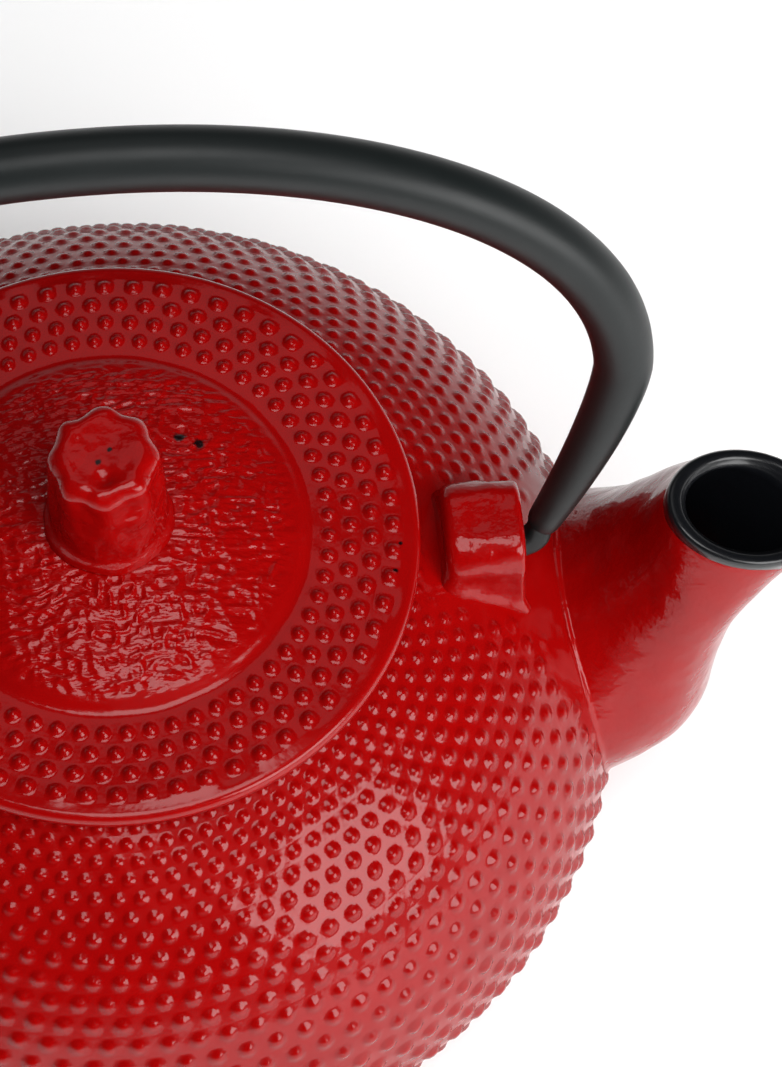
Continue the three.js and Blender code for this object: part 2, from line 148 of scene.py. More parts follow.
# Pits in the enamel that show bare iron: x, y, z and radius in millimetres
LID_PITS = ((11.2, 12.7, 94.7, 1.0), (13.9, 11.4, 94.4, 0.9), (41.7, -5.4, 90.4, 0.35),
            (40.5, -9.7, 90.4, 0.45))
KNOB_PITS = ((-0.8, -1.2, 115.6, 0.5), (1.0, 0.6, 115.6, 0.45))


# ---------------------------------------------------------------- colour
def linear(code):
    """A hex sRGB colour as linear red, green, blue and alpha."""
    parts = [int(code[i:i + 2], 16) / 255 for i in (1, 3, 5)]
    return tuple(c / 12.92 if c <= 0.04045 else ((c + 0.055) / 1.055) ** 2.4 for c in parts) + (1.0,)


def length(name, description, default):
    """A length property in metres."""
    return bpy.props.FloatProperty(name=name, description=description, default=default,
                                   min=0.0, precision=5, subtype="DISTANCE", unit="LENGTH")


def number(name, description, default):
    """A plain number property."""
    return bpy.props.FloatProperty(name=name, description=description, default=default)


def count(name, description, default):
    """A whole number property."""
    return bpy.props.IntProperty(name=name, description=description, default=default, min=1)


def colour(name, description, code):
    """A colour property, given as sRGB hex."""
    return bpy.props.FloatVectorProperty(name=name, description=description, size=4,
                                         subtype="COLOR", min=0.0, max=1.0, default=linear(code))


class TeapotSizes(bpy.types.PropertyGroup):
    """The sizes that a user would change."""
    belly_radius: length("Belly radius", "Widest radius of the pot", reach("body_shoulder", 0))
    belly_height: length("Belly height", "Height of the widest place", 35 * MM)
    shoulder_rise: length("Shoulder rise", "Height of the full shoulder above the belly", 54.5 * MM)
    shoulder_power: number("Shoulder power", "Squareness of the shoulder's curve", 2.22)
    bowl_drop: length("Bowl drop", "Depth of the full bowl below the belly", 32 * MM)
    bowl_power: number("Bowl power", "Squareness of the bowl's curve", 1.85)
    foot_radius: length("Foot radius", "Radius of the foot", 38 * MM)
    collar_radius: length("Collar radius", "Outer radius of the mouth's collar", 41.5 * MM)
    collar_top: length("Collar top", "Height of the mouth's rim", reach("body_collar", 2))
    pot_studs: count("Pot studs", "Studs in each ring round the pot", 98)
    stud_share: number("Stud share", "Stud radius as a share of the stud spacing", 0.27)
    stud_rise: number("Stud rise", "Stud height as a share of the stud spacing", 0.13)
    spout_half_width: length("Spout half width", "Half width of the spout at its root", 23.5 * MM)
    mouth_half_width: length("Spout mouth", "Half width of the spout at its mouth", 9.4 * MM)
    mouth_share: number("Spout bore", "Bore of the mouth as a share of its outside", 0.85)
    lid_radius: length("Lid radius", "Radius of the lid's flange", reach("lid", 0))
    lid_top: length("Lid rim height", "Height of the flange's top face", 90 * MM)
    lid_bottom: length("Lid seat height", "Height of the flange's under face", 87.3 * MM)
    lid_ring_bottom: length("Lid ring", "Height of the locating ring's lower edge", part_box("lid")[0][2])
    lid_studs: count("Lid studs", "Studs in each ring on the lid", 60)
    lid_rings: count("Lid rings", "Rings of studs on the lid", 4)
    knob_top: length("Knob top", "Height of the knob's top", reach("knob", 2))
    knob_radius: length("Knob radius", "Radius of the knob near its top", 7.75 * MM)
    knob_lobes: count("Knob lobes", "Soft lobes round the knob", 8)
    pivot_height: length("Pivot height", "Height of the line that the handle swings about", 76.2 * MM)
    handle_half_width: length("Handle half width", "Half width of the handle's arch", 75.3 * MM)
    leg_height: length("Leg height", "Height at which the handle's legs meet the arch", 33.9 * MM)
    arch_rise: length("Arch rise", "Rise of the arch above the legs", 44.7 * MM)
    handle_lean: bpy.props.FloatProperty(name="Handle lean", description="Lean back from upright",
                                         default=math.radians(20), subtype="ANGLE", unit="ROTATION")
    tube_radius: length("Tube radius", "Radius of the handle's tube along the arch", 4.6 * MM)
    tube_end_radius: length("Tube end radius", "Radius of the tube where it ends", 2.45 * MM)
    tube_taper: length("Tube taper", "Length over which the tube swells", 50 * MM)
    hook_radius: length("Hook radius", "Half thickness of the handle's hooks", 1.9 * MM)
    basket_radius: length("Basket radius", "Inner radius of the basket's collar", 31.4 * MM)
    basket_holes: count("Basket holes", "Holes round the basket's wall", 120)
    basket_rows: count("Basket rows", "Rows of holes up the basket's wall", 24)


class TeapotColours(bpy.types.PropertyGroup):
    """The colours that a user would change."""
    enamel: colour("Red enamel", "Enamel on the pot and the lid", "#8c0303")
    # The deep red also stands for painted shade in the crevices round the studs' feet.
    enamel_deep_and_shade: colour("Deep red", "Enamel where it lies thick", "#5a0103")
    iron_fleck: colour("Iron fleck", "Bare dark iron in pits of the enamel", "#180607")
    lining: colour("Black enamel", "Enamel inside the pot and the spout", "#0b0c0f")
    lacquer: colour("Black lacquer", "Lacquer on the handle", "#121616")
    steel: colour("Stainless steel", "Basket and rivet", "#c9ccd0")
    floor: colour("Floor", "Pale floor", "#fbfbfb")


# ---------------------------------------------------------------- numbers on whole arrays
def lerp(low, high, share):
    """From low at share 0 to high at share 1."""
    return low + (high - low) * share


def smooth_step(low, high, value):
    """0 below low, 1 above high, and an even S-curve between them."""
    share = np.clip((value - low) / (high - low), 0, 1)
    return share * share * (3 - 2 * share)


def noise(points, cell, seed):
    """Soft noise from -1 to 1: a random number at each corner of a lattice of cubes with the given
    side, and between the corners a blend of the eight nearest along quintic curves."""
    table = np.random.default_rng(seed).uniform(-1, 1, 4096)
    scaled = points / cell
    corner = np.floor(scaled).astype(np.int64)
    part = scaled - corner
    part = part ** 3 * (part * (part * 6 - 15) + 10)
    total = np.zeros(points.shape[:-1])
    for step in itertools.product((0, 1), repeat=3):
        key = (corner + step) * (73856093, 19349663, 83492791)
        value = table[(key[..., 0] ^ key[..., 1] ^ key[..., 2]) % 4096]
        total += value * np.prod(np.where(step, part, 1 - part), axis=-1)
    return total


def lumpy(points, *layers):
    """Unevenness of a casting in metres: the sum of soft noises, each given as its height and cell
    in millimetres and its seed."""
    return sum(height * MM * noise(points, cell * MM, seed) for height, cell, seed in layers)


def normalised(vectors):
    """The same vectors with a length of 1."""
    return vectors / np.linalg.norm(vectors, axis=-1, keepdims=True)


def turns(amount):
    """Even turns once round, from 0."""
    return TURN * np.arange(amount) / amount


def carried(r, turn, z):
    """Points at radius r and height z, carried round the Z axis by turn."""
    return np.stack([r * np.cos(turn), r * np.sin(turn), z + 0 * turn], axis=-1)


def revolved(line, columns):
    """Rows of points: each (radius, height) of the line carried once round the Z axis."""
    return carried(line[:, 0, None], turns(columns), line[:, 1, None])


def parabola(start, corner, end, amount):
    """Points on the parabola from start to end that heads for the corner from both."""
    t = np.linspace(0, 1, amount)[:, None]
    return (1 - t) ** 2 * start + 2 * t * (1 - t) * corner + t ** 2 * end


def outline(*corners, steps=5):
    """A line of (radius, height) points through corners given as (radius, height, rounding). Each
    corner with a rounding is a parabola that leaves and meets its two edges that far away."""
    line = []
    for i, (r, z, rounding) in enumerate(corners):
        here = np.array((r, z))
        if not rounding:
            line.append(here)
            continue
        neighbours = np.array([corners[i - 1][:2], corners[(i + 1) % len(corners)][:2]])
        start, end = here + normalised(neighbours - here) * rounding
        line.extend(parabola(start, here, end, steps))
    return np.array(line)


def respaced(line, amount):
    """The same line with its points at even distances along it."""
    run = np.concatenate([[0], np.cumsum(np.linalg.norm(np.diff(line, axis=0), axis=1))])
    even = np.linspace(0, run[-1], amount)
    return np.stack([np.interp(even, run, line[:, k]) for k in range(line.shape[1])], axis=1)


def shut(row):
    """A row of its own with every point at the middle of the given one, which closes an end."""
    return np.repeat(row.mean(axis=0, keepdims=True), len(row), axis=0)[None]


# ---------------------------------------------------------------- meshes
def mesh_of(name, points, quads, triangles=None):
    """A smooth-shaded mesh from point, quad and triangle arrays, turned to face outwards by the
    sign of its volume."""
    triangles = np.zeros((0, 3), int) if triangles is None else triangles
    halves = np.concatenate([quads[:, [0, 1, 2]], quads[:, [0, 2, 3]], triangles])
    a, b, c = (points[halves[:, k]] for k in range(3))
    if np.einsum("ij,ij->i", a, np.cross(b, c)).sum() < 0:
        quads, triangles = quads[:, ::-1], triangles[:, ::-1]
    corners = np.concatenate([quads.ravel(), triangles.ravel()])
    after_quads = 4 * len(quads)
    starts = np.concatenate([4 * np.arange(len(quads)), after_quads + 3 * np.arange(len(triangles))])
    mesh = bpy.data.meshes.new(name)
    mesh.vertices.add(len(points))
    mesh.vertices.foreach_set("co", points.astype(np.float32).ravel())
    mesh.loops.add(len(corners))
    mesh.loops.foreach_set("vertex_index", corners.astype(np.int32))
    mesh.polygons.add(len(starts))
    mesh.polygons.foreach_set("loop_start", starts.astype(np.int32))
    mesh.polygons.foreach_set("use_smooth", np.ones(len(starts), bool))
    mesh.update(calc_edges=True)
    return mesh


def skin(name, grid, looped=False, crisp=()):
    """A closed mesh over rows x columns of points. The columns close round. The rows close round
    too when looped; otherwise the first and last rows shrink to a pole each. Rows listed in crisp
    get a sharp edge."""
    body = grid if looped else grid[1:-1]
    rows, columns, _ = body.shape
    i = np.arange(rows if looped else rows - 1)[:, None]
    j = np.arange(columns)[None, :]
    low, high = i * columns, (i + 1) % rows * columns
    k = (j + 1) % columns
    quads = np.stack([low + j, low + k, high + k, high + j], axis=-1).reshape(-1, 4)
    points = body.reshape(-1, 3)
    triangles = None
    if not looped:
        around = np.arange(columns)
        after = (around + 1) % columns
        last = (rows - 1) * columns
        pole = np.full(columns, len(points))
        triangles = np.concatenate([np.stack([pole, after, around], axis=1),
                                    np.stack([pole + 1, last + around, last + after], axis=1)])
        points = np.concatenate([points, grid[[0, -1]].mean(axis=1)])
    mesh = mesh_of(name, points, quads, triangles)
    if len(crisp):
        ends = np.empty(2 * len(mesh.edges), np.int32)
        mesh.edges.foreach_get("vertices", ends)
        row = ends.reshape(-1, 2) // columns + (0 if looped else 1)
        mesh.edges.foreach_set("use_edge_sharp", (row[:, 0] == row[:, 1]) & np.isin(row[:, 0], crisp))
    return mesh


def store(mesh, name, values):
    """Keeps one number for each vertex, for the materials. Poles, which come last, get 0."""
    padded = np.zeros(len(mesh.vertices), np.float32)
    padded[:values.size] = values.ravel()
    mesh.attributes.new(name, "FLOAT", "POINT").data.foreach_set("value", padded)


def add_piece(mesh, material, body, nodes):
    """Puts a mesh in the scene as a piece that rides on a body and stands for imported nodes."""
    piece = bpy.data.objects.new(mesh.name, mesh)
    bpy.context.scene.collection.objects.link(piece)
    mesh.materials.append(material)
    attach(piece, body)
    if nodes:
        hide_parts(*nodes)
    return piece


# ---------------------------------------------------------------- materials
def add_node(tree, kind, inputs=None, **settings):
    """Adds a node, applies its settings, and links or sets each input that is given."""
    node = tree.nodes.new(kind)
    for name, value in settings.items():
        setattr(node, name, value)
    for key, value in (inputs or {}).items():
        if isinstance(value, bpy.types.NodeSocket):
            tree.links.new(value, node.inputs[key])
        else:
            node.inputs[key].default_value = value
    return node


def new_material(name, **values):
    """A new material with its node tree, its main shader and its Object coordinates. The values
    are set straight on the shader's sockets."""
    material = bpy.data.materials.new(name)
    material.use_nodes = True
    tree = material.node_tree
    shader = tree.nodes["Principled BSDF"]
    for key, value in values.items():
        shader.inputs[key.replace("_", " ").title().replace("Ior", "IOR")].default_value = value
    place = add_node(tree, "ShaderNodeTexCoord").outputs["Object"]
    return material, tree, shader, place


def grain(tree, place, size, detail=2.0, roughness=0.5):
    """Noise with blotches of about the given size in metres, from 0 to 1."""
    return add_node(tree, "ShaderNodeTexNoise", {"Vector": place, "Scale": 1 / size, "Detail": detail,
                                                 "Roughness": roughness}).outputs["Fac"]


def remapped(tree, value, low, high, new_low, new_high, **settings):
    """A value from low to high carried to the range from new_low to new_high, and held there."""
    return add_node(tree, "ShaderNodeMapRange", {
        "Value": value, "From Min": low, "From Max": high, "To Min": new_low, "To Max": new_high},
                    **settings).outputs["Result"]


def worked_out(tree, operation, *values, **settings):
    """The result of one arithmetic operation on values."""
    return add_node(tree, "ShaderNodeMath", dict(enumerate(values)), operation=operation,
                    **settings).outputs["Value"]


def mixed(tree, share, first, second):
    """The first colour at share 0 and the second at share 1."""
    return add_node(tree, "ShaderNodeMix", {"Factor": share, "A": first, "B": second},
                    data_type="RGBA").outputs[2]


def bumped(tree, height, distance, normal=None):
    """A bump of the given depth in metres, laid over another one if normal is given."""
    inputs = {"Height": height, "Distance": distance, "Strength": 1.0}
    if normal is not None:
        inputs["Normal"] = normal
    return add_node(tree, "ShaderNodeBump", inputs).outputs["Normal"]


def red_enamel(context, name, peel, flecks=()):
    """Fired enamel on sand-cast iron: a hard glassy red coat over a slightly lumpy casting. It
    mirrors lights sharply, and its colour is darker in the ring round each stud's foot: partly
    where the enamel runs thick, partly painted shade in the crevice. It shows dark iron in a few
    pits. flecks are (x, y, z, radius) in millimetres. Where a mesh has the bark value, the coat
    is finely wrinkled too."""
    colours = context.scene.teapot_colours
    material, tree, shader, place = new_material(
        name, roughness=0.5, specular_ior_level=0.0, coat_weight=0.9, coat_roughness=0.13, coat_ior=1.5)
    blotch = grain(tree, place, 11 * MM, 3.0)
    tone = remapped(tree, blotch, 0.35, 0.7, 0.0, 0.15)
    # The share of deep red: random tone, plus the crevice value stored on the meshes, which is painted shade
    # and thick enamel in the ring round each stud's foot.
    crevice_pool_and_shade = add_node(tree, "ShaderNodeAttribute", attribute_name="crevice_pool_and_shade").outputs["Fac"]
    depth = worked_out(tree, "ADD", tone, crevice_pool_and_shade, use_clamp=True)
    shade = mixed(tree, depth, colours.enamel, colours.enamel_deep_and_shade)
    for *middle, radius in np.array(flecks) * MM:
        away = add_node(tree, "ShaderNodeVectorMath", {0: place, 1: middle}, operation="DISTANCE")
        edge = grain(tree, place, 0.8 * MM)
        ragged = worked_out(tree, "MULTIPLY_ADD", edge, radius, away.outputs["Value"])
        spot = remapped(tree, ragged, 1.1 * radius, 1.6 * radius, 1.0, 0.0)
        shade = mixed(tree, spot, shade, colours.iron_fleck)
    tree.links.new(shade, shader.inputs["Base Color"])
    lumps = bumped(tree, grain(tree, place, 2.6 * MM, 2.0), peel)
    skin_bump = bumped(tree, grain(tree, place, 0.7 * MM, 1.0), peel * 0.22, lumps)
    stretched = add_node(tree, "ShaderNodeMapping", {"Vector": place, "Scale": (0.55, 1.2, 1.0)})
    rough = add_node(tree, "ShaderNodeAttribute", attribute_name="bark").outputs["Fac"]
    wrinkle = worked_out(tree, "MULTIPLY", grain(tree, stretched.outputs["Vector"], 1.5 * MM, 2.0), rough)
    skin_bump = bumped(tree, wrinkle, WRINKLE_DEPTH, skin_bump)
    tree.links.new(skin_bump, shader.inputs["Normal"])
    tree.links.new(skin_bump, shader.inputs["Coat Normal"])
    return material


def black_enamel(context):
    """Glassy black enamel fired on iron: nearly black, with soft lumps that break its highlights."""
    material, tree, shader, place = new_material(
        "black_enamel", base_color=context.scene.teapot_colours.lining, roughness=0.32, ior=1.5,
        coat_weight=0.6, coat_roughness=0.15)
    lumps = bumped(tree, grain(tree, place, 3 * MM), 0.12 * MM)
    tree.links.new(bumped(tree, grain(tree, place, 0.8 * MM), 0.02 * MM, lumps), shader.inputs["Normal"])
    return material


def black_lacquer(context):
    """Stoved satin lacquer on steel tube: dark grey-green sheen along the light, fine orange peel,
    and slightly duller patches where it is handled."""
    material, tree, shader, place = new_material(
        "satin_black_lacquer", base_color=context.scene.teapot_colours.lacquer, ior=1.5)
    dull = remapped(tree, grain(tree, place, 9 * MM, 4.0), 0.0, 1.0, 0.34, 0.5)
    tree.links.new(dull, shader.inputs["Roughness"])
    peel = bumped(tree, grain(tree, place, 1.6 * MM), 0.02 * MM)
    tree.links.new(bumped(tree, grain(tree, place, 0.35 * MM), 0.006 * MM, peel), shader.inputs["Normal"])
    return material


def stainless_steel(context):
    """Drawn and polished stainless sheet: bright grey metal with fine lines round the basket."""
    material, tree, shader, place = new_material(
        "stainless_steel", base_color=context.scene.teapot_colours.steel, metallic=1.0)
    flat = add_node(tree, "ShaderNodeMapping", {"Vector": place, "Scale": (0.05, 0.05, 1.0)})
    lines = grain(tree, flat.outputs["Vector"], 0.25 * MM, 3.0)
    tree.links.new(remapped(tree, lines, 0.0, 1.0, 0.2, 0.38), shader.inputs["Roughness"])
    tree.links.new(bumped(tree, lines, 0.01 * MM), shader.inputs["Normal"])
    return material


def floor_paper(context):
    """Plain matt white paper."""
    return new_material("white_paper", base_color=context.scene.teapot_colours.floor, roughness=0.9)[0]


# ---------------------------------------------------------------- pot
def superellipse(radius, rise, power, end_radius, amount):
    """One quarter from its widest place, at height 0, to end_radius: the radius is the power-th
    superellipse's cosine term and the height its sine term."""
    angle = np.linspace(0, math.acos((end_radius / radius) ** (power / 2)), amount)
    return np.stack([radius * np.cos(angle) ** (2 / power), rise * np.sin(angle) ** (2 / power)], axis=1)


def pot_line(sizes, inset, low_radius, high_radius, amount):
    """The pot's line from the foot up to the collar, moved in by inset."""
    belly = sizes.belly_radius - inset
    bowl = superellipse(belly, sizes.bowl_drop - inset, sizes.bowl_power, low_radius, amount)[:0:-1]
    shoulder = superellipse(belly, sizes.shoulder_rise - inset, sizes.shoulder_power, high_radius, amount)
    line = np.concatenate([bowl * (1, -1), shoulder])
    return line + (0, sizes.belly_height)


def pot_depth(sizes, points):
    """Distance from points to the pot's outer surface, above 0 outside it: the superellipse's own
    equation divided by the size of its slope."""
    radius = np.hypot(points[..., 0], points[..., 1])
    height = points[..., 2] - sizes.belly_height
    above = height > 0
    rise = np.where(above, sizes.shoulder_rise, sizes.bowl_drop)
    power = np.where(above, sizes.shoulder_power, sizes.bowl_power)
    across = radius / sizes.belly_radius
    upward = np.abs(height) / rise
    value = across ** power + upward ** power - 1
    slope = np.hypot(power * across ** (power - 1) / sizes.belly_radius, power * upward ** (power - 1) / rise)
    return value / slope


def shoulder_height(sizes, radius):
    """Height of the shoulder's surface at a radius."""
    across = np.clip(radius / sizes.belly_radius, 0, 1)
    rise = (1 - across ** sizes.shoulder_power) ** (1 / sizes.shoulder_power)
    return sizes.belly_height + sizes.shoulder_rise * rise


def stud_shape(away, share, bluntness=0.42):
    """Height from 0 to 1 at a distance from a stud's middle, both in stud spacings: a round cap
    that stands on a narrow, barely sunk ring. A low bluntness makes the cap's foot steep."""
    cap = np.clip(1 - (away / share) ** 2, 0, None)
    ring = np.exp(-((away - share * 1.12) / 0.05) ** 2)
    return cap ** bluntness - 0.02 * ring


def stud_crevice_pool_and_shade(away, share):
    """0 on a stud and on the ground between studs, up to 1 in the ring round its foot, where the red is
    darkened as painted shade and as thicker enamel.
    """
    return np.exp(-((away - share) / 0.07) ** 2)


def nearest_stud(turn, spacing, ring, up):
    """Each point's nearest stud in its row's ring, as the stud's turn and the distance to it in
    stud spacings. Odd rings are turned by half a spacing. up is the row's distance from its ring's
    middle, in the same unit as turn."""
    shift = (ring % 2)[:, None] * 0.5
    nearest = np.round(turn / spacing - shift) + shift
    return nearest * spacing, np.hypot(turn / spacing - nearest, up[:, None] / spacing)


def stud_fade(x, y, z, root):
    """How much of its height each stud has, from its middle: none close to the lugs, on the smooth
    patch between a lug and the spout, and near the seam round the spout's root."""
    side = np.abs(y)
    along = np.abs(x)
    beyond_lug = np.maximum(np.maximum(LUG_INNER_X - 2 * MM - along, side - LUG_HALF_WIDTH - 2.6 * MM), 0)
    near_lug = (z > 55 * MM) & ((x > 0) | (along < LUG_OUTER_X + 5 * MM))
    lug = np.where(near_lug, smooth_step(0, 1.5 * MM, beyond_lug), 1)
    bearing = np.arctan2(z - root["height"], y)
    edge = np.interp(bearing, root["bearing"], root["distance"], period=TURN)
    gap = np.hypot(y, z - root["height"]) - edge
    clear = lerp(-0.6 * MM, 5 * MM, smooth_step(52 * MM, 66 * MM, z))
    spout = np.where(x > 0, smooth_step(clear, clear + 2 * MM, gap), 1)
    return lug * spout


def studded_wall(sizes, root):
    """The pot's outer surface as rows x columns of points, and its crevice values: painted shade
    and thick enamel round each stud's foot. Rows are even in w, the sum of step length over
    radius up the line, so that a step in w and the same step of turn are equally long everywhere
    and the studs stay round. Each point moves out along the line's normal by its stud's height."""
    line = pot_line(sizes, 0, sizes.foot_radius, sizes.collar_radius, 1500)
    step = np.diff(line, axis=0)
    w = np.concatenate([[0], np.cumsum(np.hypot(*step.T) / (line[1:, 0] + line[:-1, 0]) * 2)])
    spacing = TURN / sizes.pot_studs
    bands = round(w[-1] / (spacing * math.sqrt(3) / 2))
    height = w[-1] / bands
    rows = np.linspace(0, w[-1], bands * STUD_ROWS + 1)
    radius, up = (np.interp(rows, w, line[:, k]) for k in range(2))
    turn = turns(sizes.pot_studs * STUD_COLUMNS)
    outward = normalised(carried(np.gradient(up, rows)[:, None], turn, -np.gradient(radius, rows)[:, None]))

    ring = np.minimum(rows // height, bands - 1)
    middle_w = (ring + 0.5) * height
    stud_turn, away = nearest_stud(turn, spacing, ring, rows - middle_w)
    middle_r, middle_z = (np.interp(middle_w, w, line[:, k])[:, None] for k in range(2))
    fade = stud_fade(middle_r * np.cos(stud_turn), middle_r * np.sin(stud_turn), middle_z, root)
    rise = sizes.stud_rise * spacing * middle_r * fade * stud_shape(away, sizes.stud_share)

    grid = carried(radius[:, None], turn, up[:, None]) + outward * rise[..., None]
    lumps = lumpy(grid, (0.12, 7, 3), (0.05, 2.5, 4))
    return grid + outward * lumps[..., None], POT_CREVICE_POOL_AND_SHADE * fade * stud_crevice_pool_and_shade(away, sizes.stud_share)


def row_normals(grid, row):
    """Normals of an uncut surface along one of its rows, so that a piece that is cut there can be
    shaded as if the surface went on."""
    along = grid[row + 1] - grid[row - 1]
    around = np.roll(grid[row], -1, axis=0) - np.roll(grid[row], 1, axis=0)
    normal = normalised(np.cross(around, along))
    return normal * np.sign(np.einsum("ij,ij->i", normal, grid[row])[:, None])


def pot_pieces(sizes, root):
    """The pot in two closed pieces that meet on the ground between two rings of studs: the bowl
    with the foot and floor, and the shoulder with the collar, step and throat."""
    wall, crevice_pool_and_shade = studded_wall(sizes, root)
    cut = SPLIT_BAND * STUD_ROWS
    columns = wall.shape[1]
    inner = pot_line(sizes, POT_WALL, sizes.foot_radius - POT_WALL, THROAT_RADIUS, 10)[::-1]
    split_z = wall[cut, :, 2].mean()
    foot = sizes.foot_radius
    under = outline((0, FOOT_RECESS, 0), (foot - 8 * MM, FOOT_RECESS, FOOT_EDGE),
                    (foot - 7 * MM, 0, 0.5 * MM), (foot, 0, FOOT_EDGE), (foot, 4 * MM, 0))
    inside_low = inner[inner[:, 1] < split_z - 1 * MM]
    floor = np.array([(foot - POT_WALL, FLOOR_HEIGHT), (0, FLOOR_HEIGHT)])
    bowl = np.concatenate([revolved(under, columns), wall[:cut + 1],
                           revolved(np.concatenate([inside_low, floor]), columns)])
    bowl_crevice_pool_and_shade = np.concatenate([np.zeros((len(under) - 1, columns)), crevice_pool_and_shade[:cut + 1]])

    edge = COLLAR_EDGE
    top = sizes.collar_top
    rim = outline((sizes.collar_radius, wall[-1, :, 2].mean(), 0), (sizes.collar_radius, top, edge),
                  (STEP_RADIUS, top, edge / 2), (STEP_RADIUS, STEP_HEIGHT, edge / 3),
                  (THROAT_RADIUS, STEP_HEIGHT, edge / 2), (THROAT_RADIUS, STEP_HEIGHT - 4 * MM, 0))[1:]
    inside_high = inner[(inner[:, 1] > split_z - 1 * MM) & (inner[:, 1] < STEP_HEIGHT - 4 * MM)]
    shoulder = np.concatenate([wall[cut:], revolved(np.concatenate([rim, inside_high]), columns)])
    parts = []
    for name, grid, looped, seam_row, values in (
            ("pot_bowl", bowl, False, len(under) - 1 + cut, bowl_crevice_pool_and_shade),
            ("pot_shoulder", shoulder, True, 0, crevice_pool_and_shade[cut:])):
        mesh = skin(name, grid, looped)
        # Painted shade and thick enamel round the studs' feet, for the enamel's colour
        store(mesh, "crevice_pool_and_shade", values)
        seam_start = seam_row * columns
        corner_point = np.empty(len(mesh.loops), np.int32)
        mesh.loops.foreach_get("vertex_index", corner_point)
        normals = np.zeros((len(mesh.loops), 3), np.float32)
        on_seam = (corner_point >= seam_start) & (corner_point < seam_start + columns)
        normals[on_seam] = row_normals(wall, cut)[corner_point[on_seam] - seam_start]
        mesh.normals_split_custom_set(normals)
        parts.append(mesh)
    return parts


def lining_mesh(sizes):
    """Black coat over the inside of the pot: a thin closed shell with an even thickness."""
    radius = sizes.foot_radius - POT_WALL
    faces = []
    for depth in (LINING_GAP, LINING_GAP + LINING):
        low = FLOOR_HEIGHT + depth
        wall = pot_line(sizes, POT_WALL + depth, radius - depth, THROAT_RADIUS + 2 * MM, 40)
        faces.append(np.concatenate([[(0, low), (radius - depth - 3 * MM, low)], wall]))
    return skin("pot_lining", revolved(np.concatenate([faces[0], faces[1][::-1]]), 160))


# ---------------------------------------------------------------- spout
def bezier(points, t):
    """A cubic curve through its first and last point, drawn towards the two between."""
    a, b, c, d = (np.array(p) * MM for p in points)
    t = np.asarray(t)[..., None]
    return (1 - t) ** 3 * a + 3 * (1 - t) ** 2 * t * b + 3 * (1 - t) * t ** 2 * c + t ** 3 * d


def spout_points(sizes, t, turn, share=1.0, inset=0.0, lift=0.0):
    """Points on the spout's skin. The section at t is an ellipse: its long axis runs from the front
    curve to the back curve, its half width falls from root to mouth as a power of what is left of
    t, share scales it, inset takes a fixed width off, and lift moves it out along its normal."""
    front, back = bezier(SPOUT_FRONT, t), bezier(SPOUT_BACK, t)
    middle, half = (front + back) / 2, (front - back) / 2
    size = np.linalg.norm(half, axis=-1)
    unit = half / size[..., None]
    long = size * share - inset
    width = lerp(sizes.mouth_half_width, sizes.spout_half_width, (1 - t) ** SPOUT_WIDTH_POWER) * share - inset
    x = middle[..., 0] - unit[..., 1] * lift + unit[..., 0] * long * np.cos(turn)
    z = middle[..., 1] + unit[..., 0] * lift + unit[..., 1] * long * np.cos(turn)
    return np.stack([x, width * np.sin(turn), z], axis=-1)


def spout_root(sizes, turn):
    """Where the spout's skin leaves the pot's surface, at each turn: t by halving an interval that
    has the surface between its ends. Also the same line as bearing and distance about its middle,
    seen along X, for the studs that stop before it."""
    low, high = np.zeros_like(turn), np.ones_like(turn)
    for _ in range(30):
        middle = (low + high) / 2
        outside = pot_depth(sizes, spout_points(sizes, middle, turn)) > 0
        low, high = np.where(outside, low, middle), np.where(outside, middle, high)
    edge = spout_points(sizes, high, turn)
    height = (edge[:, 2].max() + edge[:, 2].min()) / 2
    bearing = np.arctan2(edge[:, 2] - height, edge[:, 1])
    order = np.argsort(bearing)
    distance = np.hypot(edge[:, 1], edge[:, 2] - height)
    return {"t": high, "edge": edge, "height": height, "bearing": bearing[order], "distance": distance[order]}


def spout_mesh(sizes):
    """The spout's red casting: out along the skin from inside the pot's wall to the mouth, over the
    mouth's face and back along the bore. A rounded seam bead follows the root, and the skin has
    the soft lumps of a hand-finished casting."""
    columns, rows = 192, 110
    turn = turns(columns)
    root = spout_root(sizes, turn)
    share = np.linspace(0, 1, rows)[:, None] ** 1.25
    t = lerp(root["t"][None, :], 1, share)
    skin_rows = spout_points(sizes, t, turn)
    outward = normalised(skin_rows - skin_rows.mean(axis=1, keepdims=True))
    away = np.clip(pot_depth(sizes, skin_rows), 0, None)
    bead = SEAM_HEIGHT * np.exp(-(away / SEAM_WIDTH) ** 2)
    wander = 1 + 0.4 * noise(skin_rows, 4 * MM, 11)
    fade = smooth_step(0, 0.06, 1 - share)
    lumps = fade * lumpy(skin_rows, (0.22, 9, 5), (0.1, 3, 6))
    skin_rows = skin_rows + outward * (bead * wander + lumps)[..., None]
    buried = skin_rows[0] - normalised(root["edge"] * (1, 1, 0)) * SPOUT_BURIED
    back = np.linspace(1, 0, 24)[:, None]
    bore_t = lerp(root["t"][None, :], 1, back)
    bore_share = lerp(PASSAGE_AT_ROOT, sizes.mouth_share, bore_t) + 0.02
    bore = spout_points(sizes, bore_t, turn, bore_share)
    inner = bore[-1] * 0.5 + buried * 0.5
    return skin("spout_casting", np.concatenate([buried[None], skin_rows, bore, inner[None]]), looped=True,
                crisp=(rows,))


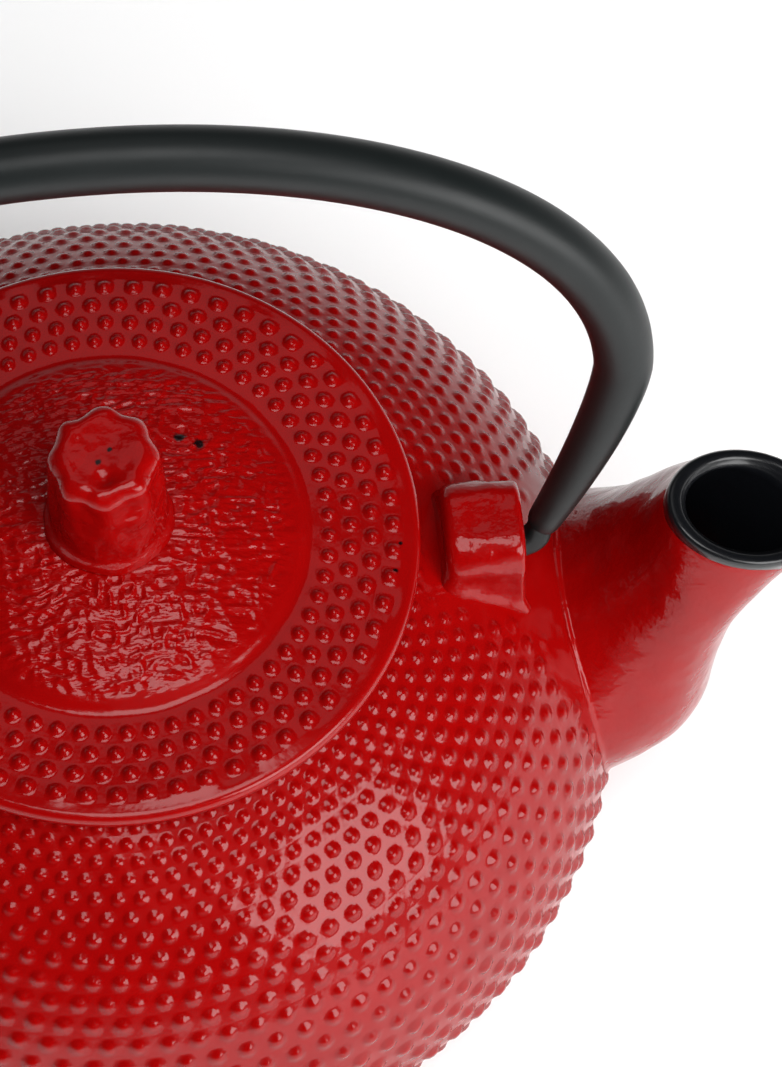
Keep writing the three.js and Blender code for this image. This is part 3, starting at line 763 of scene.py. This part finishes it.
def spout_lining_mesh(sizes):
    """Black enamel in the spout: the bore from a rounded end in the pot's wall out to the mouth,
    and a soft lip that laps over the mouth's face and just over its outer edge."""
    columns, rows = 160, 40
    turn = turns(columns)
    t = np.linspace(0.1, 1, rows)[:, None] + 0 * turn
    share = lerp(PASSAGE_AT_ROOT, sizes.mouth_share, t)
    outer = spout_points(sizes, t, turn, share, LINING_GAP)
    inner = spout_points(sizes, t[::-1], turn, share[::-1], LINING_GAP + LINING)
    mouth = np.ones_like(turn)
    ragged = lumpy(spout_points(sizes, mouth, turn), (0.45, 1.6, 8))
    lap = 0.35 * MM
    thick = LIP_THICKNESS
    lip = [spout_points(sizes, mouth, turn, 1.0, -lap * reach_out, height) for reach_out, height in
           ((0.2, 0.2 * MM), (0.4, -1.7 * MM + ragged), (0.8, -1.6 * MM + ragged), (1.0, -0.2 * MM),
            (0.9, 0.5 * thick), (0.2, 0.9 * thick), (-0.7, 1.1 * thick))]
    bore = [spout_points(sizes, mouth, turn, sizes.mouth_share, inset, height) for inset, height in
            ((-0.3 * MM, 1.1 * thick), (0.1 * MM, 0.8 * thick), (0.4 * MM, 0.2 * thick))]
    faces = [shut(outer[0]), outer, np.array(lip), np.array(bore), inner, shut(inner[-1])]
    return skin("spout_lining_coat", np.concatenate(faces))


# ---------------------------------------------------------------- lugs
def arch(half_width, top, bottom, corner, amount):
    """A closed line across Y: up one side, over two rounded corners, down the other side and back
    along the foot, with its points at even distances."""
    angle = np.linspace(0, QUARTER, 9)
    right = np.array((half_width, top)) - corner + corner * np.stack([np.cos(angle), np.sin(angle)], axis=1)
    left = right[::-1] * (-1, 1)
    start, end = [(0, bottom), (half_width, bottom)], [(-half_width, bottom), (0, bottom)]
    return respaced(np.concatenate([start, right, left, end]), amount + 1)[:-1]


def lug_mesh(sizes, name, side):
    """A hooded lug: arches across Y carried along X, drawn in at both ends to round the edges, then
    turned back into the pocket that the hook lies in. The foot flares onto the pot's shoulder and
    sinks into its wall. side is 1 at the spout and -1 opposite."""
    amount = 120
    bottom = sizes.pivot_height - 10 * MM
    edge = 1.8 * MM
    bend = np.linspace(0, QUARTER, 6)
    front = [(LUG_INNER_X + edge * (1 - math.sin(a)), edge * (1 - math.cos(a))) for a in bend[::-1]]
    flat = [(x, 0) for x in np.linspace(LUG_INNER_X + edge, LUG_OUTER_X - edge / 2, 14)[1:-1]]
    rear = [(LUG_OUTER_X - edge / 2 * (1 - math.sin(a)), edge / 2 * (1 - math.cos(a))) for a in bend]
    stations = front + flat + rear
    rings = []
    for x, inset in stations:
        line = arch(LUG_HALF_WIDTH - inset, LUG_TOP - inset, bottom, LUG_EDGE_RADIUS - inset * 0.5, amount)
        rings.append(np.column_stack([np.full(amount, x), line]))
    skin_rows = np.array(rings)
    surface = shoulder_height(sizes, np.hypot(skin_rows[..., 0], skin_rows[..., 1]))
    above = np.clip(skin_rows[..., 2] - surface, 0, None)
    flare = LUG_FLARE * np.exp(-above / (1.6 * MM))
    aside = skin_rows[..., 1]
    skin_rows[..., 1] += np.sign(aside) * flare * smooth_step(0, 3 * MM, np.abs(aside))
    ends = np.array([x for x, _ in stations])
    push = smooth_step(LUG_OUTER_X - 3 * MM, LUG_OUTER_X, ends)
    push -= smooth_step(-LUG_INNER_X - 3 * MM, -LUG_INNER_X, -ends)
    skin_rows[..., 0] += push[:, None] * flare * 0.8
    sag = 0.8 * MM * (skin_rows[..., 1] / LUG_HALF_WIDTH) ** 2 * smooth_step(6 * MM, 11 * MM, above)
    skin_rows[..., 2] -= sag
    lumps = lumpy(skin_rows + side, (0.3, 5, 21), (0.12, 2.2, 22))
    middle = np.array((0, 0, sizes.pivot_height))
    skin_rows = skin_rows + normalised((skin_rows - middle) * (0, 1, 1)) * lumps[..., None]
    pocket_top = sizes.pivot_height + POCKET_HALF_WIDTH
    pocket = []
    for start, step, inset in ((LUG_OUTER_X, 0, -0.9), (LUG_OUTER_X, -0.3, -0.3), (LUG_OUTER_X, -1, 0),
                               (POCKET_INNER_X, 1, 0), (POCKET_INNER_X, 0.2, 0.4), (POCKET_INNER_X, 0, 1.4)):
        inset *= MM
        line = arch(POCKET_HALF_WIDTH - inset, pocket_top - inset, bottom, 3 * MM, amount)
        pocket.append(np.column_stack([np.full(amount, start + step * MM), line]))
    grid = np.concatenate([shut(skin_rows[0]), skin_rows, np.array(pocket), shut(pocket[-1])])
    sunk = shoulder_height(sizes, np.hypot(grid[..., 0], grid[..., 1])) - 1.5 * MM
    grid[..., 2] = np.maximum(grid[..., 2], sunk)
    return skin(name, grid * (side, side, 1))


# ---------------------------------------------------------------- handle
def leg_point(sizes, height):
    """The handle's middle line in its own plane, on the leg: it spreads as a power of height."""
    spread = (sizes.handle_half_width - 61.5 * MM) * (1 - height / sizes.leg_height) ** LEG_POWER
    return np.stack([sizes.handle_half_width - spread, height + 0 * spread], axis=-1)


def handle_line(sizes, start):
    """The whole middle line: leg, superelliptic arch and far leg, from a height above the pivot."""
    leg = leg_point(sizes, np.linspace(start, sizes.leg_height, 60))[:-1]
    angle = np.linspace(0, math.pi, 400)
    x = np.sign(np.cos(angle)) * np.abs(np.cos(angle)) ** (2 / ARCH_POWER)
    rise = sizes.arch_rise * np.abs(np.sin(angle)) ** (2 / ARCH_POWER)
    arch_line = np.stack([sizes.handle_half_width * x, sizes.leg_height + rise], axis=1)
    return np.concatenate([leg, arch_line, leg[::-1] * (-1, 1)])


def bent_rod(sizes, line, radius, columns, power=2.0):
    """Rings across a line in the handle's plane, which leans back over the pivot. Each ring is a
    superellipse of the given power: 2 is round, more is squarer."""
    along = normalised(np.gradient(line, axis=0))
    turn = turns(columns)
    cos, sin = (np.sign(f) * np.abs(f) ** (2 / power) for f in (np.cos(turn), np.sin(turn)))
    radius = np.broadcast_to(radius, len(line))[:, None]
    x = line[:, :1] + along[:, 1:] * radius * cos
    up = line[:, 1:] - along[:, :1] * radius * cos
    aside = radius * sin
    lean = sizes.handle_lean
    y = up * math.sin(lean) - aside * math.cos(lean)
    z = sizes.pivot_height + up * math.cos(lean) + aside * math.sin(lean)
    return np.stack([x, y, z], axis=-1)


def tube_mesh(sizes):
    """The handle's tube: it swells along a sine from each end, and is hollow with rounded ends."""
    line = respaced(handle_line(sizes, TUBE_START_HEIGHT), 320)
    step = np.linalg.norm(line[1] - line[0])
    run = step * np.arange(len(line))
    from_end = np.minimum(run, run[-1] - run)
    swell = np.sin(QUARTER * np.clip(from_end / sizes.tube_taper, 0, 1))
    radius = lerp(sizes.tube_end_radius, sizes.tube_radius, swell)
    rounding = 0.25 * MM * np.exp(-from_end / (0.4 * MM))
    outer = bent_rod(sizes, line, radius - rounding, 48)
    inner = bent_rod(sizes, line, radius - TUBE_WALL, 48)[::-4]
    both = np.concatenate([outer, inner])
    return skin("handle_tube_lacquered", both, looped=True, crisp=(0, len(line) - 1))


def hook_mesh(sizes, name, side):
    """A squared steel end that lies in the lug's pocket, turns up and runs into the tube."""
    tip = np.array([(HOOK_TIP_X, 0), (HOOK_TIP_X + 2.2 * MM, 0)])
    start = leg_point(sizes, np.array([TUBE_START_HEIGHT * 0.9]))[0]
    elbow = parabola(tip[1], np.array((start[0] - 0.3 * MM, 0)), start, 14)
    shank = leg_point(sizes, np.linspace(TUBE_START_HEIGHT, HOOK_SHANK_HEIGHT, 8))
    line = respaced(np.concatenate([tip, elbow[1:], shank]), 60)
    share = np.linspace(0, 1, len(line))
    tip_share = np.clip(share / 0.05, 0, 1)
    radius = lerp(sizes.hook_radius, HOOK_SHANK_RADIUS, smooth_step(0.35, 0.6, share))
    radius = radius * np.sqrt(np.clip(1 - (1 - tip_share) ** 2, 0.3, 1))
    rod = bent_rod(sizes, line, radius, 40, power=3.4) * (side, 1, 1)
    return skin(name, np.concatenate([shut(rod[0]), rod, shut(rod[-1])]))


# ---------------------------------------------------------------- lid
def dome_height(sizes, r):
    """Height of the lid's low dome: it falls as the square of the radius."""
    return sizes.lid_top + lerp(DOME_RISE, DOME_FOOT_RISE, (r / DOME_RADIUS) ** 2)


def bark(points):
    """The dome's rough skin, from -1 to 1: ridges where two stretched and bent noises cross zero,
    over slower swells."""
    bend = np.stack([lumpy(points, (1.1, 6, seed)) for seed in (31, 32)] + [0 * points[..., 0]], axis=-1)
    wavy = (points + bend) * (0.6, 1.15, 0)
    ridge = 1 - 2.2 * np.abs(noise(wavy, 1.1 * MM, 33))
    fine = noise(wavy * 1.7 + 0.1, 1.2 * MM, 34)
    swell = noise(points, 8 * MM, 35)
    return 0.5 * ridge + 0.3 * fine + 0.35 * swell


def lid_mesh(sizes):
    """The lid: a bark-skinned dome, a studded flange with a plain rim, the seat, the locating ring
    and the hollow under the dome. The top is a height above a flat plan for every radius and
    turn; the rest is a line carried round."""
    columns = sizes.lid_studs * LID_STUD_COLUMNS
    turn = turns(columns)
    dome_r = np.linspace(STEM_HOLE, DOME_RADIUS, 100)
    step_r = np.linspace(DOME_RADIUS, DOME_RADIUS + 1.2 * MM, 5)[1:]
    band = (LID_BAND_RADIUS - step_r[-1]) / sizes.lid_rings
    flange_r = np.linspace(step_r[-1], LID_BAND_RADIUS, sizes.lid_rings * LID_STUD_ROWS + 1)[1:]
    r = np.concatenate([dome_r, step_r, flange_r])

    dome = dome_height(sizes, r)
    slope = (r - step_r[-1]) / (LID_BAND_RADIUS - step_r[-1])
    flange = sizes.lid_top + lerp(1.0, 0.35, np.clip(slope, 0, 1)) * MM
    blend = smooth_step(DOME_RADIUS - 1.8 * MM, DOME_RADIUS + 0.8 * MM, r)
    height = lerp(dome, flange, blend)[:, None] + 0 * turn

    ring = np.clip((r - step_r[-1]) // band, 0, sizes.lid_rings - 1)
    middle = step_r[-1] + (ring + 0.5) * band
    _, away = nearest_stud(turn, TURN / sizes.lid_studs, ring, (r - middle) / middle)
    on_flange = (r > step_r[-1])[:, None]
    stud = np.where(on_flange, stud_shape(away, LID_STUD_SHARE, 0.6), 0)
    height = height + LID_STUD_HEIGHT * stud

    plan = carried(r[:, None], turn, 0 * height)
    rough = 1 - smooth_step(DOME_RADIUS - 4.5 * MM, DOME_RADIUS - 0.5 * MM, r)
    calm = smooth_step(8 * MM, 11 * MM, r)
    height = height + BARK_DEPTH * bark(plan) * (rough * lerp(0.4, 1, calm))[:, None]
    height = height + lumpy(plan, (0.1, 5, 36))
    top = np.stack([plan[..., 0], plan[..., 1], height], axis=-1)

    rim_top = sizes.lid_top + 0.3 * MM
    low = sizes.lid_bottom
    edge = LID_EDGE
    side = outline((LID_BAND_RADIUS + 0.3 * MM, rim_top, 0),
                   (sizes.lid_radius, rim_top - 0.1 * MM, 1.4 * edge), (sizes.lid_radius, low, 1.4 * edge),
                   (RING_OUTER_RADIUS, low, edge / 2),
                   (RING_OUTER_RADIUS, sizes.lid_ring_bottom, edge),
                   (RING_INNER_RADIUS, sizes.lid_ring_bottom, edge),
                   (RING_INNER_RADIUS, dome_height(sizes, DOME_RADIUS) - LID_WALL, edge),
                   (STEM_HOLE, 0, 0), steps=4)[:-1]
    hollow_r = np.linspace(RING_INNER_RADIUS - edge, STEM_HOLE, 12)
    under = dome_height(sizes, hollow_r * DOME_RADIUS / RING_INNER_RADIUS) - LID_WALL
    rest = np.concatenate([side, np.stack([hollow_r, under], axis=1)])
    mesh = skin("lid_casting", np.concatenate([top, revolved(rest, columns)]), looped=True,
                crisp=(0, len(top) + len(rest) - 1))
    # Painted shade and thick enamel round the flange studs' feet, for the enamel's colour
    store(mesh, "crevice_pool_and_shade", np.where(on_flange, LID_CREVICE_POOL_AND_SHADE * stud_crevice_pool_and_shade(away, LID_STUD_SHARE), 0))
    store(mesh, "bark", np.where(on_flange, 0, (rough * lerp(0.5, 1, calm))[:, None]) + 0 * turn)
    return mesh


def knob_mesh(sizes):
    """The knob: a plain taper whose sides swell in even lobes towards the top, a rounded upper edge,
    a dished top with a small dimple, a rolled and flared foot, and the stem that passes through the
    lid."""
    columns = sizes.knob_lobes * 24
    turn = turns(columns)
    foot = dome_height(sizes, 9 * MM) + 0.1 * MM
    tall = sizes.knob_top - foot
    edge = KNOB_EDGE
    side_h = np.linspace(-KNOB_SUNK, tall - edge, 60)
    roll = 0.45 * MM * np.exp(-((side_h - 1.1 * MM) / (0.9 * MM)) ** 2)
    flare = 0.9 * MM * np.exp(-np.abs(side_h) / (0.8 * MM))
    side_r = sizes.knob_radius + lerp(KNOB_TAPER, 0, side_h / tall) + roll + flare
    bend = np.linspace(0, QUARTER, 9)[1:]
    edge_h = tall - edge + edge * np.sin(bend)
    edge_r = side_r[-1] - edge * (1 - np.cos(bend))
    top_r = np.linspace(edge_r[-1], 0, 20)[1:]
    top_h = tall - KNOB_DISH * (1 - (top_r / edge_r[-1]) ** 2) ** 1.5
    r = np.concatenate([side_r, edge_r, top_r])[:, None]
    h = np.concatenate([side_h, edge_h, top_h])[:, None]
    lobe = KNOB_LOBE_DEPTH * smooth_step(0.0, 0.9, h / tall) * smooth_step(0.2, 0.9, r / side_r[-1])
    r = r * (1 + lobe * np.cos(sizes.knob_lobes * turn + 0.4))
    grid = carried(r, turn, foot + h)
    lumps = lumpy(grid, (0.28, 4, 41), (0.14, 1.8, 42))
    grid = grid + normalised(grid - (0, 0, foot + 0.5 * tall)) * lumps[..., None]
    dimple = np.hypot(grid[..., 0] + 0.2 * MM, grid[..., 1] + 4.2 * MM)
    grid[..., 2] -= 0.5 * MM * np.exp(-(dimple / (1.3 * MM)) ** 2) * (h > tall - edge)
    stem_bottom = dome_height(sizes, 0) - LID_WALL - 0.3 * MM
    stem_line = [(0, stem_bottom), (STEM_RADIUS, stem_bottom), (STEM_RADIUS, foot - KNOB_SUNK)]
    stem = revolved(np.array(stem_line), columns)
    grid[-1] = grid[-1].mean(axis=0)
    return skin("knob_casting", np.concatenate([stem, grid]))


def rivet_mesh(sizes):
    """The peened end of the knob's stem under the lid: a low domed washer."""
    top = dome_height(sizes, 0) - LID_WALL - 0.6 * MM
    angle = np.linspace(0, QUARTER, 10)
    washer = 0.4 * MM
    drop = washer + (RIVET_THICKNESS - washer) * np.sin(angle)
    dome = np.stack([RIVET_RADIUS * np.cos(angle), top - drop], axis=1)
    return skin("knob_rivet_head", revolved(np.concatenate([[(0, top), (RIVET_RADIUS, top)], dome]), 48))


# ---------------------------------------------------------------- strainer basket
def perforated(name, place, across, up, wraps):
    """A sheet with a round hole in each of across x up cells. place turns cell coordinates (u, v)
    and a side, 0 or 1, into points. Each cell has a ring of eight faces between its square edge
    and its hole on both sides, and eight more through the hole."""
    angle = turns(8)
    hole = 0.31 * np.stack([np.cos(angle), np.sin(angle)], axis=1) + 0.5
    square = np.clip(np.stack([np.cos(angle), np.sin(angle)], axis=1) * 1.42, -1, 1) * 0.5 + 0.5
    cell = np.stack(np.meshgrid(np.arange(across), np.arange(up), indexing="ij"), axis=-1).reshape(-1, 1, 2)
    rings = [place(cell + ring, side) for side in (0, 1) for ring in (square, hole)]
    points = np.stack(rings, axis=1)
    base = np.arange(len(cell))[:, None] * 32
    j = np.arange(8)
    k = (j + 1) % 8
    outside = np.stack([base + j, base + k, base + 8 + k, base + 8 + j], axis=-1)
    inside = np.stack([base + 24 + j, base + 24 + k, base + 16 + k, base + 16 + j], axis=-1)
    through = np.stack([base + 8 + j, base + 8 + k, base + 24 + k, base + 24 + j], axis=-1)
    faces = [outside, inside, through]
    column, row = cell[:, 0, 0], cell[:, 0, 1]
    borders = [(row == 0, (5, 6, 7)), (row == up - 1, (1, 2, 3))]
    if not wraps:
        borders += [(column == 0, (3, 4, 5)), (column == across - 1, (7, 0, 1))]
    for chosen, corner in borders:
        for a, b in zip(corner[:-1], corner[1:]):
            edge = base[chosen]
            faces.append(np.stack([edge + b, edge + a, edge + 16 + a, edge + 16 + b], axis=-1))
    quads = np.concatenate([f.reshape(-1, 4) for f in faces])
    flat = points.reshape(-1, 3)
    _, first, same = np.unique(np.round(flat / (0.002 * MM)), axis=0, return_index=True, return_inverse=True)
    return mesh_of(name, flat[first], same.ravel()[quads])


def basket_wall_mesh(sizes, low, high):
    """The basket's punched wall: cells carried round a cylinder."""
    inner = sizes.basket_radius + BASKET_SHEET + 0.3 * MM

    def place(cell, side):
        angle = TURN * cell[..., 0] / sizes.basket_holes
        radius = inner + BASKET_SHEET * side
        height = lerp(low, high, cell[..., 1] / sizes.basket_rows)
        return carried(radius, angle, height)

    return perforated("basket_wall_sheet", place, sizes.basket_holes, sizes.basket_rows, True)


def basket_floor_mesh(radius, low):
    """The basket's punched floor: a square of cells pressed out to a disc, each square ring of
    cells becoming a circle."""
    def place(cell, side):
        square = cell / BASKET_FLOOR_CELLS * 2 - 1
        size = np.abs(square).max(axis=-1, keepdims=True)
        long = np.linalg.norm(square, axis=-1, keepdims=True)
        disc = square * lerp(1, size / np.maximum(long, 1e-9), size) * radius
        return np.concatenate([disc, np.full(disc.shape[:-1] + (1,), low + BASKET_SHEET * side)], axis=-1)

    return perforated("basket_floor_sheet", place, BASKET_FLOOR_CELLS, BASKET_FLOOR_CELLS, False)


def basket_ring_mesh(name, corners):
    """A ring of folded sheet: a rounded outline carried round."""
    return skin(name, revolved(outline(*corners), 160), looped=True)


# ---------------------------------------------------------------- operators
class TEAPOT_OT_pot(bpy.types.Operator):
    """Build the studded pot, its black lining, the spout and the two lugs"""
    bl_idname = "teapot.pot"
    bl_label = "Pot"

    def execute(self, context):
        sizes = context.scene.teapot_sizes
        red = red_enamel(context, "red_enamel_pot", FINE_PEEL)
        smooth_red = red_enamel(context, "red_enamel_spout_and_lugs", COARSE_PEEL)
        black = black_enamel(context)
        root = spout_root(sizes, turns(360))
        bowl, shoulder = pot_pieces(sizes, root)
        add_piece(bowl, red, "pot", ["body_foot", "body_bowl"])
        add_piece(shoulder, red, "pot", ["body_shoulder", "body_collar"])
        add_piece(lining_mesh(sizes), black, "pot", ["body_lining"])
        add_piece(spout_mesh(sizes), smooth_red, "pot", ["spout"])
        add_piece(spout_lining_mesh(sizes), black, "pot", ["spout_lining"])
        for name, side in (("front", 1), ("rear", -1)):
            lug = lug_mesh(sizes, f"lug_{name}_casting", side)
            add_piece(lug, smooth_red, "pot", [f"lug_{name}"])
        return {"FINISHED"}


class TEAPOT_OT_handle(bpy.types.Operator):
    """Build the bail handle's tube and its two hooks"""
    bl_idname = "teapot.handle"
    bl_label = "Handle"

    def execute(self, context):
        sizes = context.scene.teapot_sizes
        lacquer = black_lacquer(context)
        add_piece(tube_mesh(sizes), lacquer, "handle", ["handle_tube"])
        for name, side in (("front", 1), ("rear", -1)):
            hook = hook_mesh(sizes, f"hook_{name}_steel", side)
            add_piece(hook, lacquer, "handle", [f"handle_hook_{name}"])
        return {"FINISHED"}


class TEAPOT_OT_lid(bpy.types.Operator):
    """Build the studded lid, its knob and the rivet under it"""
    bl_idname = "teapot.lid"
    bl_label = "Lid"

    def execute(self, context):
        sizes = context.scene.teapot_sizes
        red = red_enamel(context, "red_enamel_lid", FINE_PEEL, LID_PITS)
        knob_red = red_enamel(context, "red_enamel_knob", KNOB_PEEL, KNOB_PITS)
        steel = stainless_steel(context)
        add_piece(lid_mesh(sizes), red, "lid", ["lid"])
        add_piece(knob_mesh(sizes), knob_red, "lid", ["knob"])
        add_piece(rivet_mesh(sizes), steel, "lid", ["knob_rivet"])
        return {"FINISHED"}


class TEAPOT_OT_basket(bpy.types.Operator):
    """Build the strainer basket: rim, punched wall, crimped ring and punched floor"""
    bl_idname = "teapot.basket"
    bl_label = "Strainer basket"

    def execute(self, context):
        sizes = context.scene.teapot_sizes
        steel = stainless_steel(context)
        sheet = BASKET_SHEET
        inner = sizes.basket_radius
        low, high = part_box("basket_rim")[0][2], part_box("basket_rim")[1][2]
        flange = reach("basket_rim", 0)
        small = sheet * 0.4
        rim = basket_ring_mesh("basket_rim_sheet", (
            (inner, low, small), (inner + sheet, low, small), (inner + sheet, high - sheet, 1.5 * sheet),
            (flange, high - sheet, small), (flange, high, small), (inner, high, 2.5 * sheet)))
        add_piece(rim, steel, "basket", ["basket_rim"])
        wall_low, wall_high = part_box("basket_wall")[0][2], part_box("basket_wall")[1][2]
        wall = basket_wall_mesh(sizes, wall_low, wall_high)
        add_piece(wall, steel, "basket", ["basket_wall"])
        bottom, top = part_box("basket_crimp")[0][2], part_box("basket_crimp")[1][2]
        outer = reach("basket_crimp", 0)
        width = 2.8 * MM
        crimp = basket_ring_mesh("basket_crimp_ring", (
            (outer - width, bottom, small), (outer, bottom, 2 * sheet), (outer, top, 2 * sheet),
            (outer - width, top, small)))
        add_piece(crimp, steel, "basket", ["basket_crimp"])
        floor = basket_floor_mesh(reach("basket_floor", 0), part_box("basket_floor")[0][2])
        add_piece(floor, steel, "basket", ["basket_floor"])
        return {"FINISHED"}


# ---------------------------------------------------------------- stage
SENSOR = 36.0
FOCAL_LENGTH = 155.2
CAMERA_AIM = (40.5 * MM, -3.5 * MM, 90 * MM)
CAMERA_DISTANCE = 667.4 * MM
CAMERA_AZIMUTH = -7.33
CAMERA_ELEVATION = 63.58
CAMERA_ROLL = 1.71
FLOOR_HALF = 3.0

# Lights: name, bearing, elevation, distance, side, energy, and whether the gloss shows them
LIGHTS = (
    ("key_fill", 155, 60, 5.0, 3.6, 190.0, False),
    ("side_fill", 130, 25, 2.0, 1.2, 19.0, False),
    ("front_right", 134, 28, 1.0, 0.58, 4.6, True),
    ("overhead", 160, 79, 0.9, 0.42, 1.7, True),
    ("behind", 0, 60, 1.1, 0.55, 0.35, True),
)


def soft_box(name, bearing, elevation, distance, size, energy, mirrored, aim):
    """A square area light, placed by bearing (0 is behind the pot, 90 on the spout's side) and
    elevation about the point that it is aimed at. One that isn't mirrored lights the object
    without showing in its gloss, as a wide overcast glow does."""
    light = bpy.data.lights.new(name, "AREA")
    light.energy, light.size = energy, size
    lamp = bpy.data.objects.new(name, light)
    b, e = math.radians(bearing), math.radians(elevation)
    toward = Vector((math.sin(b) * math.cos(e), math.cos(b) * math.cos(e), math.sin(e)))
    lamp.location = Vector(aim) + toward * distance
    lamp.rotation_mode = "QUATERNION"
    lamp.rotation_quaternion = toward.to_track_quat("Z", "Y")
    lamp.visible_glossy = mirrored
    bpy.context.scene.collection.objects.link(lamp)


def studio_world():
    """A white studio with a dim ceiling: bright near the horizon, falling off with height."""
    world = bpy.data.worlds.new("studio")
    bpy.context.scene.world = world
    world.use_nodes = True
    tree = world.node_tree
    direction = add_node(tree, "ShaderNodeTexCoord").outputs["Generated"]
    up = add_node(tree, "ShaderNodeSeparateXYZ", {"Vector": direction}).outputs["Z"]
    glow = remapped(tree, up, 0.0, 0.4, 0.35, 0.015, interpolation_type="SMOOTHSTEP")
    tree.links.new(glow, tree.nodes["Background"].inputs["Strength"])
    tree.nodes["Background"].inputs["Color"].default_value = (1.0, 1.0, 1.0, 1.0)


class TEAPOT_OT_stage(bpy.types.Operator):
    """Set the camera, the pale floor and the soft lights"""
    bl_idname = "teapot.stage"
    bl_label = "Stage"

    def execute(self, context):
        scene = context.scene
        camera = bpy.data.objects.new("camera", bpy.data.cameras.new("camera"))
        scene.collection.objects.link(camera)
        scene.camera = camera
        azimuth, elevation, roll = map(math.radians, (CAMERA_AZIMUTH, CAMERA_ELEVATION, CAMERA_ROLL))
        back = Vector((math.sin(azimuth) * math.cos(elevation), -math.cos(azimuth) * math.cos(elevation),
                       math.sin(elevation)))
        camera.location = Vector(CAMERA_AIM) + back * CAMERA_DISTANCE
        camera.rotation_mode = "QUATERNION"
        camera.rotation_quaternion = (-back).to_track_quat("-Z", "Y") @ Quaternion((0, 0, 1), roll)
        camera.data.sensor_width = SENSOR
        camera.data.lens = FOCAL_LENGTH
        scene.view_settings.view_transform = "Standard"

        corners = [(FLOOR_HALF * x, FLOOR_HALF * y, 0) for x, y in ((-1, -1), (1, -1), (1, 1), (-1, 1))]
        floor = bpy.data.meshes.new("floor")
        floor.from_pydata(corners, [], [(0, 1, 2, 3)])
        floor.materials.append(floor_paper(context))
        ground = bpy.data.objects.new("floor", floor)
        scene.collection.objects.link(ground)

        centre = (0.0, 0.0, 60 * MM)
        for light in LIGHTS:
            soft_box(*light, centre)
        studio_world()
        return {"FINISHED"}


class TEAPOT_PT_panel(bpy.types.Panel):
    """The teapot's operators, sizes and colours"""
    bl_idname = "TEAPOT_PT_panel"
    bl_label = "Teapot"
    bl_space_type = "VIEW_3D"
    bl_region_type = "UI"
    bl_category = "Teapot"

    def draw(self, context):
        for operator in OPERATORS:
            self.layout.operator(operator.bl_idname)
        for group in (context.scene.teapot_sizes, context.scene.teapot_colours):
            column = self.layout.column()
            for name in type(group).__annotations__:
                column.prop(group, name)


OPERATORS = (TEAPOT_OT_pot, TEAPOT_OT_handle, TEAPOT_OT_lid, TEAPOT_OT_basket, TEAPOT_OT_stage)
CLASSES = (TeapotSizes, TeapotColours) + OPERATORS + (TEAPOT_PT_panel,)


def register():
    """Registers the classes and hangs the two property groups on the scene."""
    for item in CLASSES:
        bpy.utils.register_class(item)
    bpy.types.Scene.teapot_sizes = bpy.props.PointerProperty(type=TeapotSizes)
    bpy.types.Scene.teapot_colours = bpy.props.PointerProperty(type=TeapotColours)


def unregister():
    """Takes them off again."""
    del bpy.types.Scene.teapot_colours
    del bpy.types.Scene.teapot_sizes
    for item in reversed(CLASSES):
        bpy.utils.unregister_class(item)


def main():
    """Builds the teapot and its stage."""
    register()
    bpy.ops.teapot.pot()
    bpy.ops.teapot.handle()
    bpy.ops.teapot.lid()
    bpy.ops.teapot.basket()
    bpy.ops.teapot.stage()


if __name__ == "__main__":
    main()
